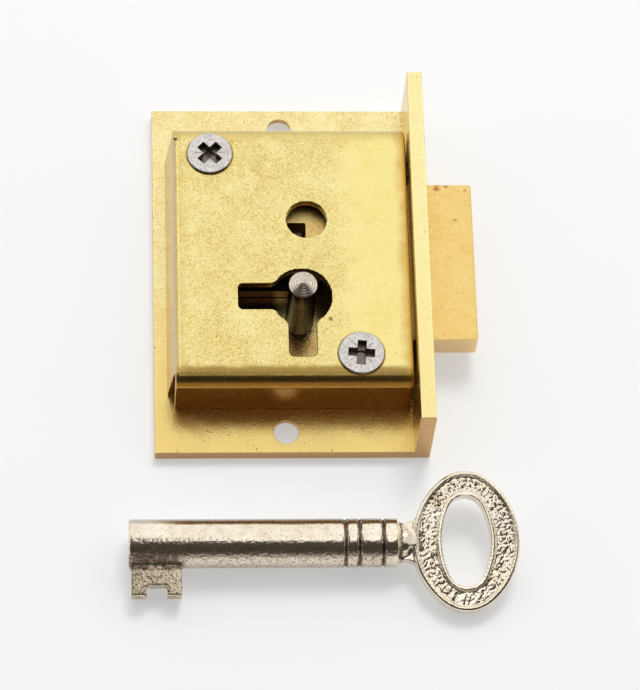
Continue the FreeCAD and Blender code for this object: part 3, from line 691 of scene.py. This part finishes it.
@dataclass(frozen=True)
class WornNickel:
    """Nickel plate on a cast key: bright and warm, with brown tarnish in its pits and grooves.

    Its places are along the key from the mouth of the bore (x) and across it away from the
    bit (y), in the key's own frame before it is rolled.
    """

    name: str
    origin_mm: Point
    roll_deg: float
    grooves_mm: Tuple[float, ...]
    dull: Colour = (218, 202, 178)
    plain: Colour = (240, 229, 208)
    bright: Colour = (250, 243, 228)
    stops: Point = (0.3, 0.5, 0.68)
    wide_mm: float = 2.2
    wide_share: float = 0.7
    wide_rough: float = 0.1
    fine_mm: float = 0.2
    smooth: float = 0.09
    shank_end_mm: Span = (44.5, 41.0)
    low_side_mm: Span = (0.9, -2.4)
    top_side_mm: Span = (2.5, 3.3)
    bit_end_mm: Span = (8.9, 8.3)
    bit_root_mm: Span = (-3.4, -4.2)
    scatter_mm: float = 1.5
    gathered: Span = (0.4, 0.6)
    pits: Speckle = Speckle(0.8, (0.27, 0.1), rounded=True, on_low=0.8, anywhere=0.2)
    specks: Speckle = Speckle(0.3, (0.56, 0.62), warp=0.5, on_low=0.95, on_bit=0.35, anywhere=0.05)
    grit: Speckle = Speckle(0.5, (0.55, 0.59), coarse=0.85, on_low=0.6, on_bit=0.8)
    dots: Speckle = Speckle(0.62, (0.2, 0.12), rounded=True, anywhere=0.8)
    dot_group_mm: float = 1.1
    dot_group_edge: Span = (0.45, 0.5)
    stain_end_mm: Span = (9.6, 8.2)
    stain_band_mm: Span = (-4.3, -2.6)
    stain_soft_mm: float = 0.6
    stain_broken: Span = (0.3, 0.5)
    stain_share: float = 0.75
    crumb_mm: float = 0.45
    groove_ring: StainRing = StainRing(1.4, (0.5, 0.15), 0.9)
    neck_ring: StainRing = StainRing(1.2, (0.3, 0.05), 0.85)
    neck_mm: float = 44.1
    # Painted shade: grey and rougher on the shank's upper side, duller on its low side.
    top_side_shade: Tint = Tint((176, 176, 178), share=0.55, rougher=0.13)
    low_side_shade: Tint = Tint((214, 200, 182), share=0.5)
    bit_tint: Tint = Tint((250, 230, 186), share=0.35, rougher=0.1)
    stain_tint: Tint = Tint((82, 56, 40), rougher=0.2)
    mark_tint: Tint = Tint((84, 62, 42), rougher=0.3)
    relief_mm: float = 0.008
    fine_relief: float = 0.1
    mark_relief: float = 0.6

    def place(self, shader: Shader) -> Tuple[Signal, Signal]:
        """Where a point lies along the key and across it, in millimetres.

        Args:
            shader: the material.

        Returns:
            The place along it and the place across it.
        """
        turn = math.radians(self.roll_deg)
        along = shader.x - self.origin_mm[0]
        up, aside = shader.z - self.origin_mm[2], shader.y - self.origin_mm[1]
        return along, aside * math.cos(turn) + up * math.sin(turn)

    def marks(self, shader: Shader, scatter: Signal, shank: Signal, low: Signal, bit: Signal) -> Signal:
        """Where the pits, specks, grit and dots lie.

        Args:
            shader: the material.
            scatter: cloud that gathers the pits.
            shank: where the shank is.
            low: where the shank faces the bit's side.
            bit: where the bit is.

        Returns:
            Their mask.
        """
        pits = self.pits.mask(shader, low, bit) * scatter.rise(*self.gathered)
        groups = shader.cloud(self.dot_group_mm).rise(*self.dot_group_edge)
        dots = self.dots.mask(shader, low, bit) * groups * shank
        for speckle in (self.specks, self.grit):
            pits = pits.most(speckle.mask(shader, low, bit))
        return pits.most(dots)

    def stain(self, shader: Shader, x: Signal, y: Signal, scatter: Signal) -> Signal:
        """Where the plate is stained brown: over the bit, in the grooves and at the neck.

        Args:
            shader: the material.
            x: the place along the key.
            y: the place across it.
            scatter: cloud that breaks the stain up.

        Returns:
            The stain's mask.
        """
        crumbs = shader.cloud(self.crumb_mm, detail=4.0, coarse=0.8) - 0.5
        band = y.between(*self.stain_band_mm, self.stain_soft_mm)
        stain = x.rise(*self.stain_end_mm) * band * scatter.rise(*self.stain_broken) * self.stain_share
        for groove in self.grooves_mm:
            stain = stain.most(self.groove_ring.mask(x, groove, crumbs))
        return stain.most(self.neck_ring.mask(x, self.neck_mm, crumbs))

    def material(self) -> bpy.types.Material:
        """Builds the finish.

        Returns:
            The material.
        """
        sh = Shader(self.name)
        x, y = self.place(sh)
        wide = sh.cloud(self.wide_mm, detail=4.0, coarse=0.6, warp=0.6)
        fine = sh.cloud(self.fine_mm, detail=3.0, coarse=0.7)
        scatter = sh.cloud(self.scatter_mm, detail=4.0, coarse=0.7, warp=0.5)
        shank = x.rise(*self.shank_end_mm)
        low = y.rise(*self.low_side_mm) * shank
        top = y.rise(*self.top_side_mm) * shank
        bit = x.rise(*self.bit_end_mm) * y.rise(*self.bit_root_mm)
        marks = self.marks(sh, scatter, shank, low, bit)
        stain = self.stain(sh, x, y, scatter)
        tone = wide * self.wide_share + fine * (1 - self.wide_share)
        colour = sh.ramp(tone, self.stops, (self.dull, self.plain, self.bright))
        rough = wide * self.wide_rough + self.smooth
        for where, tint in (
            # Painted shade on the shank's upper and low sides.
            (top, self.top_side_shade),
            (low, self.low_side_shade),
            (bit, self.bit_tint),
            (stain, self.stain_tint),
            (marks, self.mark_tint),
        ):
            colour = sh.mix(where * tint.share, colour, linear(tint.colour))
            rough = rough + where * tint.rougher
        normal = sh.bumped(fine * self.fine_relief - marks * self.mark_relief, self.relief_mm)
        return sh.metal(colour, rough, normal)


def dress(node: str, material: bpy.types.Material) -> None:
    """Gives a node of the solids its finish.

    Args:
        node: the node's name.
        material: its finish.
    """
    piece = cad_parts[node]
    piece.data.materials.clear()
    piece.data.materials.append(material)
    LOG.info("%s dressed in %s", node, material.name)


def weld(piece: bpy.types.Object) -> None:
    """Joins a piece's faces, which come apart at their edges in the frame."""
    joined = piece.modifiers.new("joined", "WELD")
    joined.merge_threshold = SAME_PLACE


@dataclass(frozen=True)
class EasedEdges:
    """Sharp edges broken, as a file or a tumbler does, so that they catch light."""

    width_mm: float
    flat_deg: float = 0.3
    sharp_deg: float = 28
    steps: int = 2

    def apply(self, node: str) -> None:
        """Breaks a node's sharp edges.

        Args:
            node: the node's name.
        """
        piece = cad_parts[node]
        weld(piece)
        flat = piece.modifiers.new("flat_faces", "DECIMATE")
        flat.decimate_type = "DISSOLVE"
        flat.angle_limit = math.radians(self.flat_deg)
        edge = piece.modifiers.new("broken_edges", "BEVEL")
        edge.width = self.width_mm * MM
        edge.segments = self.steps
        edge.limit_method = "ANGLE"
        edge.angle_limit = math.radians(self.sharp_deg)
        level = piece.modifiers.new("even_shading", "WEIGHTED_NORMAL")
        level.keep_sharp = True


@dataclass(frozen=True)
class FineGrid:
    """An even mesh of small faces, with its edges a little rounded."""

    voxel_mm: float
    softness: float = 0.5
    passes: int = 2

    def apply(self, piece: bpy.types.Object) -> None:
        """Gives a piece the even mesh.

        Args:
            piece: the piece.
        """
        grid = piece.modifiers.new("grid", "REMESH")
        grid.mode = "VOXEL"
        grid.voxel_size = self.voxel_mm * MM
        grid.use_smooth_shade = True
        even = piece.modifiers.new("even", "SMOOTH")
        even.factor = self.softness
        even.iterations = self.passes


@dataclass
class LockCase:
    """Main plate, folded cover, its posts and screws, and the studs riveted in the plate."""

    cover_grid: FineGrid = FineGrid(0.2)
    plate_edges: EasedEdges = EasedEdges(0.06)
    screw_edges: EasedEdges = EasedEdges(0.05)
    screw_face_mm: float = 12.45
    screw_nodes: Tuple[str, ...] = ("cover_screw_upper", "cover_screw_lower")
    steel_nodes: Tuple[str, ...] = ("bolt_guide_stud", "lever_pivot", "bolt_stump")
    brass_nodes: Tuple[str, ...] = (
        "cover_post_upper",
        "cover_post_lower",
        "pivot_washer_1",
        "pivot_washer_2",
        "pivot_washer_3",
        "pivot_washer_4",
    )

    def plate_finish(self) -> Brass:
        """The main plate's milled brass."""
        return Brass(
            name="plate_brass",
            pale=(252, 242, 188),
            body=(246, 232, 168),
            dark=(226, 194, 122),
            patch_mm=7.0,
            grain_mm=0.3,
            grain=1.2,
            grain_depth_mm=0.016,
            lines=(1.0, 0.12, 1.0),
            rough=(0.2, 0.3),
            # Painted shade on the faces turned left and near.
            left_face_shade=(232, 204, 140),
            near_face_shade=(194, 150, 96),
            pitting=Pitting(strength=0.8),
            crackle=Crackle(strength=0.9),
            fades=(
                # Painted shade: the plate darker towards the front.
                Fade(Axis.Y, 16.0, -20.0, (236, 206, 124), 0.85),
                # Painted shade: dark brown on the strip just in front of the cover's lower wall.
                Fade(
                    Axis.Y, -21.0, -16.5, (204, 142, 66), 0.7, until_mm=-14.0, across_mm=(-20.5, 18.0)
                ),
                # Painted highlight along the top of the selvedge.
                Fade(Axis.Z, 14.8, 15.7, (252, 242, 176), 0.6),
            ),
            marks_and_shade=(
                # Painted light: warmer orange brass where light through the keyhole's lower slot falls on
                # the plate.
                MarkOrShade((0.0, -3.8, 2.3), 3.6, (236, 186, 108)),
                # Painted shade: a large dark brown patch on the plate inside the case, seen through the
                # keyhole.
                MarkOrShade((-8.5, 3.6, 2.3), 5.5, (84, 52, 24), 0.92, ragged=0.4, soft=0.3),
            ),
        )

    def cover_finish(self) -> Brass:
        """The cover's rolled and mottled brass."""
        return Brass(
            name="cover_brass",
            pale=(252, 240, 178),
            body=(244, 228, 155),
            dark=(202, 172, 88),
            blotch=0.75,
            grain_mm=0.26,
            grain=1.2,
            grain_depth_mm=0.014,
            line_strength=0.1,
            rough=(0.2, 0.3),
            # Painted shade on the faces turned left and near.
            left_face_shade=(212, 188, 156),
            near_face_shade=(182, 128, 52),
            pitting=Pitting(strength=0.45),
            crackle=Crackle(strength=1.3, smooth_from_mm=4.0),
            fades=(
                Fade(Axis.X, 4.0, 12.0, (244, 224, 134), 0.4),
                # Painted shade: the cover darker at its upper, lower, left and right bends.
                Fade(Axis.Y, 28.4, 31.0, (206, 184, 112), 0.75),
                Fade(Axis.Y, -12.2, -13.3, (150, 118, 54), 0.85),
                Fade(Axis.X, -18.6, -21.2, (206, 178, 104), 0.6),
                Fade(Axis.X, 15.6, 18.0, (206, 160, 72), 0.75),
            ),
            marks_and_shade=(
                MarkOrShade((4.6, -4.2, 12.2), 0.5, (110, 84, 40)),
                # Painted shade: dark brown rings round the screw heads.
                MarkOrShade((-14.8, 26.5, 12.2), 4.1, (122, 88, 40), ragged=0.06, soft=0.06),
                MarkOrShade((9.5, -10.5, 12.2), 4.1, (122, 88, 40), ragged=0.06, soft=0.06),
            ),
        )

    def screw_finish(self) -> GreySteel:
        """The screws' zinc plate, with painted shade in their recesses."""
        return GreySteel(
            name="screw_steel",
            pale=(232, 228, 222),
            dark=(150, 146, 140),
            rough=(0.22, 0.36),
            shade_below_mm=self.screw_face_mm,
        )

    def dress(self) -> None:
        """Gives each piece of the case its finish."""
        dress("main_plate", self.plate_finish().material())
        self.plate_edges.apply("main_plate")
        dress("case_cover", self.cover_finish().material())
        weld(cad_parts["case_cover"])
        self.cover_grid.apply(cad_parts["case_cover"])
        turned = Brass("post_brass", (244, 222, 150), (228, 196, 120), (190, 150, 84)).material()
        for node in self.brass_nodes:
            dress(node, turned)
        zinc = self.screw_finish().material()
        for node in self.screw_nodes:
            dress(node, zinc)
            self.screw_edges.apply(node)
        # Dark steel, darkened further to near black brown as painted shade inside the case.
        shaded_studs = GreySteel("shaded_stud_steel", (84, 70, 58), (44, 36, 30)).material()
        for node in self.steel_nodes:
            dress(node, shaded_studs)


@dataclass
class BoltWork:
    """The bolt, sliding through the selvedge."""

    edges: EasedEdges = EasedEdges(0.05)

    def finish(self) -> Brass:
        """The bolt's brass: its end edge a little dark and its inner part, under the cover, dark brown,
        both painted shade; small marks on top.
        """
        return Brass(
            name="bolt_brass",
            pale=(252, 226, 150),
            body=(244, 210, 130),
            dark=(222, 182, 104),
            patch_mm=8.0,
            grain_mm=0.3,
            grain=0.7,
            lines=(0.12, 1.0, 1.0),
            line_strength=0.4,
            # Painted shade on the faces turned left and near.
            left_face_shade=(232, 200, 152),
            near_face_shade=(232, 200, 152),
            fades=(
                # Painted shade: a dark edge at the bolt's end, and its inner part under the cover dark
                # brown.
                Fade(Axis.X, 34.2, 34.7, (170, 128, 70), 0.6),
                Fade(Axis.X, 18.5, 16.5, INNER_SHADE, 0.92),
            ),
            marks_and_shade=(
                MarkOrShade((23.4, 22.0, 8.5), 0.8, (190, 118, 84), 0.85),
                MarkOrShade((25.0, 22.3, 8.5), 0.5, (176, 112, 70), 0.7),
                MarkOrShade((28.2, 21.6, 8.5), 0.4, (150, 104, 56), 0.6),
                MarkOrShade((26.3, 16.0, 8.5), 0.45, (150, 112, 60), 0.6),
            ),
        )

    def dress(self) -> None:
        """Gives the bolt its finish."""
        dress("bolt", self.finish().material())
        self.edges.apply("bolt")


@dataclass
class LeverPack:
    """Three levers, darker below with painted shade, and their leaf springs."""

    count: int = 3
    # Painted shade: the levers' lower parts dark brown.
    inner_shade: Fade = Fade(Axis.Y, 11.0, 8.0, INNER_SHADE, 0.92)

    def dress(self) -> None:
        """Gives the levers and springs their finish."""
        levers = Brass(
            name="lever_brass",
            pale=(246, 228, 160),
            body=(222, 192, 120),
            dark=(166, 128, 64),
            fades=(self.inner_shade,),
        )
        brass = levers.material()
        bronze = Brass("spring_bronze", (232, 186, 130), (206, 154, 96), (150, 100, 56)).material()
        for number in range(1, self.count + 1):
            dress(f"lever_{number}", brass)
            dress(f"lever_spring_{number}", bronze)


@dataclass
class TurnedPin:
    """The key pin, with the lathe's rings on its cone."""

    foot_mm: float = 2.35
    radius_mm: float = 2.35
    top_mm: float = 17.6
    cone_mm: float = 1.1
    edge_mm: float = 0.06
    tip_mm: float = 0.3
    pitch_mm: float = 0.4
    ring_mm: float = 0.028
    ring_points: int = 3
    sides: int = 128
    finish: GreySteel = GreySteel(
        name="pin_steel",
        pale=(236, 226, 210),
        dark=(140, 130, 118),
        spot_mm=0.4,
        turned=True,
        rough=(0.22, 0.34),
        # Painted shade down the pin's shaft, below its cone.
        shade_below_mm=16.55,
        shade_share=0.95,
        shade_colour=(54, 34, 22),
    )

    def profile(self) -> List[Tuple[float, float]]:
        """Radius and height along the pin, from its foot to its tip, in millimetres."""
        shoulder = self.top_mm - self.cone_mm
        points = [(self.radius_mm, self.foot_mm), (self.radius_mm, shoulder - self.edge_mm)]
        fall = self.radius_mm - self.tip_mm
        steps = round(math.hypot(fall, self.cone_mm) / self.pitch_mm) * self.ring_points
        for number in range(steps + 1):
            share = number / steps
            sunk = self.ring_mm if number % self.ring_points == 1 else 0.0
            points.append((self.radius_mm - fall * share - sunk, shoulder + self.cone_mm * share - sunk))
        return points

    def build(self) -> None:
        """Turns the pin and dresses it."""
        rows = self.profile()
        spots = []
        for radius, height in rows:
            for side in range(self.sides):
                turn = 2 * math.pi * side / self.sides
                spots.append((radius * math.cos(turn) * MM, radius * math.sin(turn) * MM, height * MM))
        faces = []
        for row in range(len(rows) - 1):
            for side in range(self.sides):
                here = row * self.sides + side
                beside = row * self.sides + (side + 1) % self.sides
                faces.append((here, beside, beside + self.sides, here + self.sides))
        faces.append(tuple(range(self.sides))[::-1])
        faces.append(tuple(range(len(spots) - self.sides, len(spots))))
        mesh = bpy.data.meshes.new("turned_pin")
        mesh.from_pydata(spots, [], faces)
        mesh.polygons.foreach_set("use_smooth", [True] * len(mesh.polygons))
        mesh.materials.append(self.finish.material())
        piece = bpy.data.objects.new("turned_pin", mesh)
        bpy.context.scene.collection.objects.link(piece)
        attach(piece, "case")
        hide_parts("key_pin")
        LOG.info("turned_pin: %d faces", len(mesh.polygons))


def fine_copy(node: str, name: str, grid: FineGrid) -> bpy.types.Object:
    """Copies a node's shape into an even, fine mesh.

    Args:
        node: the node of the solids.
        name: the new piece's name.
        grid: the even mesh that it gets.

    Returns:
        The new piece, in the node's place.
    """
    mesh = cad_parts[node].data.copy()
    whole = bmesh.new()
    whole.from_mesh(mesh)
    bmesh.ops.remove_doubles(whole, verts=whole.verts, dist=SAME_PLACE)
    whole.to_mesh(mesh)
    whole.free()
    draft = bpy.data.objects.new(f"{name}_draft", mesh)
    bpy.context.scene.collection.objects.link(draft)
    grid.apply(draft)
    bpy.context.view_layer.update()
    shaped = draft.evaluated_get(bpy.context.evaluated_depsgraph_get())
    final = bpy.data.meshes.new_from_object(shaped)
    bpy.data.objects.remove(draft)
    final.name = name
    final.materials.clear()
    piece = bpy.data.objects.new(name, final)
    bpy.context.scene.collection.objects.link(piece)
    return piece


@dataclass
class CastKey:
    """The hollow key: a pitted casting with a hammered field round its bow.

    Its places are in the key's own frame: x along it from the mouth of the bore, y across it
    away from the bit, before it is rolled about x.
    """

    origin_mm: Point = (-28.7, -40.6, 4.0)
    roll_deg: float = 12.1207
    grid: FineGrid = FineGrid(0.14)
    shank_end_mm: float = 43.95
    bow_start_mm: float = 46.45
    bow_over_mm: float = 1.5
    rim_level_mm: float = 1.46
    flat_turn: float = 0.75
    flat_over: float = 0.2
    low_turn: float = 0.35
    grooves_mm: Tuple[float, ...] = (35.05, 37.3, 41.15)
    groove_half_mm: float = 0.5
    wear_mm: float = 0.12
    wear_per_mm: float = 1.1
    wear_level: float = 0.3
    pit_mm: float = 0.04
    pits_per_mm: float = 2.6
    pit_level: float = 0.2
    least_pits: float = 0.12
    wave_mm: float = 0.05
    waves_per_mm: float = 0.45
    least_waves: float = 0.35
    field_mm: float = 0.15
    bend_mm: float = 0.55
    bends_per_mm: float = 0.75
    lumps_per_mm: float = 1.2
    lump_fall: float = 1.2
    lump_share: float = 0.4
    crease_width: float = 0.4
    crease_share: float = 0.25
    grain_per_mm: float = 3.1
    grain_share: float = 0.35
    seed: int = 1

    def crumple(self, place: Vector) -> float:
        """Height of the field's creased lumps, from 0 to 1.

        Args:
            place: a point on the key in its own frame, in millimetres.

        Returns:
            The height.
        """
        bent = place + self.bend_mm * noise.noise_vector(place * self.bends_per_mm)
        near, far = noise.voronoi(bent * self.lumps_per_mm)[0][:2]
        dome = 1 - min(1.0, near * self.lump_fall)
        crease = min(1.0, (far - near) / self.crease_width)
        grain = 0.5 + 0.5 * noise.noise(bent * self.grain_per_mm)
        return self.lump_share * dome + self.crease_share * crease + self.grain_share * grain

    def relief(self, place: Vector, normal: Vector) -> float:
        """How far the casting falls short of its smooth form.

        Args:
            place: a point on the key in its own frame, in millimetres.
            normal: the surface's direction there, in the same frame.

        Returns:
            The depth in millimetres, never negative.
        """
        on_bow = climb(place.x, self.bow_start_mm, self.bow_over_mm)
        low = min(1.0, max(0.0, self.low_turn - normal.y)) if place.x < self.shank_end_mm else 0.0
        flat = climb(abs(normal.z), self.flat_turn, self.flat_over)
        field = on_bow * flat if abs(place.z) < self.rim_level_mm else 0.0
        pits = max(0.0, noise.noise(place * self.pits_per_mm) + self.pit_level)
        waves = 0.5 + 0.5 * noise.noise(place * self.waves_per_mm)
        depth = self.pit_mm * pits * (self.least_pits + (1 - self.least_pits) * max(field, low))
        depth += self.wave_mm * waves * (self.least_waves + (1 - self.least_waves) * on_bow)
        if field > 0:
            depth += self.field_mm * field * (1 - self.crumple(place))
        for groove in self.grooves_mm:
            close = max(0.0, 1 - abs(place.x - groove) / self.groove_half_mm)
            apart = Vector((0, groove, 0))
            worn = max(0.0, noise.noise(place * self.wear_per_mm + apart) + self.wear_level)
            depth += self.wear_mm * close * worn
        return depth

    def build(self) -> None:
        """Makes the cast key from the solid's shape and dresses it, the same each run."""
        noise.seed_set(self.seed)
        piece = fine_copy("key", "key_casting", self.grid)
        turn = Matrix.Rotation(math.radians(self.roll_deg), 3, "X")
        back = turn.transposed()
        origin = Vector(self.origin_mm)
        mesh = piece.data
        places = [back @ (v.co / MM - origin) for v in mesh.vertices]
        normals = [back @ v.normal for v in mesh.vertices]
        for vertex, place, normal in zip(mesh.vertices, places, normals):
            moved = place - normal * self.relief(place, normal)
            vertex.co = (turn @ moved + origin) * MM
        mesh.update()
        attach(piece, "key")
        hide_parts("key")
        plate = WornNickel("nickel", self.origin_mm, self.roll_deg, self.grooves_mm)
        mesh.materials.append(plate.material())
        LOG.info("key_casting: %d faces", len(mesh.polygons))


@dataclass
class Viewpoint:
    """The camera, where the picture was taken from."""

    image_px: Tuple[int, int] = (640, 690)
    focal_px: float = 3853.689
    elevation_deg: float = 64.279
    azimuth_deg: float = -7.924
    roll_deg: float = 7.034
    distance_mm: float = 644.485
    target_mm: Point = (3.537, -3.11, 0.0)
    sensor_mm: float = 36.0
    clip: Span = (0.05, 20)

    def build(self) -> None:
        """Places the camera and makes it the scene's own."""
        a, e, r = (math.radians(v) for v in (self.azimuth_deg, self.elevation_deg, self.roll_deg))
        back = Vector((math.sin(a) * math.cos(e), -math.cos(a) * math.cos(e), math.sin(e)))
        level = Vector((math.cos(a), math.sin(a), 0))
        up = back.cross(level)
        right = level * math.cos(r) + up * math.sin(r)
        top = -level * math.sin(r) + up * math.cos(r)
        data = bpy.data.cameras.new("viewpoint")
        data.sensor_width = self.sensor_mm
        data.lens = self.focal_px * self.sensor_mm / max(self.image_px)
        data.clip_start, data.clip_end = self.clip
        camera = bpy.data.objects.new("viewpoint", data)
        turn = Matrix((right, top, back)).transposed()
        place = (Vector(self.target_mm) + back * self.distance_mm) * MM
        camera.matrix_world = Matrix.Translation(place) @ turn.to_4x4()
        bpy.context.scene.collection.objects.link(camera)
        bpy.context.scene.camera = camera


@dataclass
class Lamp:
    """A soft box that faces the object."""

    name: str
    azimuth_deg: float
    elevation_deg: float
    distance: float
    width: float
    height: float
    radiance: float
    mirrored: bool = True
    aim_mm: Optional[Point] = None

    def build(self, target: Vector) -> None:
        """Places the lamp, facing the target or its own aim.

        Args:
            target: the point that it faces if it has no aim.
        """
        data = bpy.data.lights.new(self.name, "AREA")
        data.shape = "RECTANGLE"
        data.size = self.width
        data.size_y = self.height
        data.energy = self.radiance * math.pi * self.width * self.height
        lamp = bpy.data.objects.new(self.name, data)
        a, e = math.radians(self.azimuth_deg), math.radians(self.elevation_deg)
        away = Vector((math.cos(a) * math.cos(e), math.sin(a) * math.cos(e), math.sin(e)))
        if self.aim_mm is not None:
            target = Vector(self.aim_mm) * MM
        lamp.location = target + away * self.distance
        lamp.rotation_mode = "QUATERNION"
        lamp.rotation_quaternion = away.to_track_quat("Z", "Y")
        lamp.visible_camera = False
        lamp.visible_glossy = self.mirrored
        bpy.context.scene.collection.objects.link(lamp)


@dataclass
class Studio:
    """Pale floor and soft lamps."""

    floor_half: float = 3.0
    floor_gap_mm: float = 0.02
    floor_lift: float = 0.43
    floor_white: float = 0.9
    sky: float = 0.07
    sky_tint: Colour = (255, 240, 222)
    lamps: Tuple[Lamp, ...] = (
        Lamp("back_box", 90, 43.5, distance=1.1, width=2.4, height=2.0, radiance=1.0),
        Lamp("left_box", 168, 22, distance=1.2, width=1.2, height=1.0, radiance=0.75),
        Lamp("right_box", 12, 24, distance=1.2, width=1.2, height=1.0, radiance=0.8),
        Lamp("front_strip", 262, 8, distance=1.3, width=2.2, height=0.3, radiance=0.35),
        Lamp("shadow_lamp", 75, 58, distance=1.2, width=0.4, height=0.4, radiance=13.4, mirrored=False),
        Lamp("bow_card", 270, 86, distance=0.3, width=0.09, height=0.1, radiance=1.2, aim_mm=(26, -41, 3)),
    )

    def floor_material(self) -> bpy.types.Material:
        """White paper that shows pale to the camera and in the metal, and keeps shadows."""
        sh = Shader("paper")
        rays = sh.node("ShaderNodeLightPath")
        seen = Signal(sh, rays.outputs["Is Camera Ray"])
        for other in ("Is Glossy Ray", "Is Transmission Ray"):
            seen = seen.most(Signal(sh, rays.outputs[other]))
        white = (self.floor_white, self.floor_white, self.floor_white, 1)
        lit = sh.node("ShaderNodeBsdfDiffuse", None, {"Color": white})
        glow = sh.node("ShaderNodeEmission", None, {"Color": (1, 1, 1, 1), "Strength": 1.0})
        shares = {0: seen * self.floor_lift, 1: lit.outputs[0], 2: glow.outputs[0]}
        both = sh.node("ShaderNodeMixShader", None, shares)
        sh.node("ShaderNodeOutputMaterial", None, {"Surface": both.outputs[0]})
        return sh.material

    def build_floor(self) -> None:
        """Lays the floor just under the object."""
        h = self.floor_half
        z = SOLID_BOX[0].z - self.floor_gap_mm * MM
        mesh = bpy.data.meshes.new("floor")
        mesh.from_pydata([(-h, -h, z), (h, -h, z), (h, h, z), (-h, h, z)], [], [(0, 1, 2, 3)])
        mesh.materials.append(self.floor_material())
        floor = bpy.data.objects.new("floor", mesh)
        bpy.context.scene.collection.objects.link(floor)

    def build(self) -> None:
        """Makes the floor, the lamps and the room's dim light."""
        self.build_floor()
        low, high = SOLID_BOX
        for lamp in self.lamps:
            lamp.build((low + high) / 2)
        world = bpy.data.worlds.new("room")
        bpy.context.scene.world = world
        world.use_nodes = True
        sky = world.node_tree.nodes["Background"].inputs
        sky["Color"].default_value = linear(self.sky_tint)
        sky["Strength"].default_value = self.sky
        bpy.context.scene.view_settings.view_transform = "Standard"


def main() -> None:
    """Builds the scene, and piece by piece."""
    logging.basicConfig(level=logging.INFO)
    Viewpoint().build()
    Studio().build()
    LockCase().dress()
    BoltWork().dress()
    LeverPack().dress()
    TurnedPin().build()
    CastKey().build()


if __name__ == "__main__":
    main()
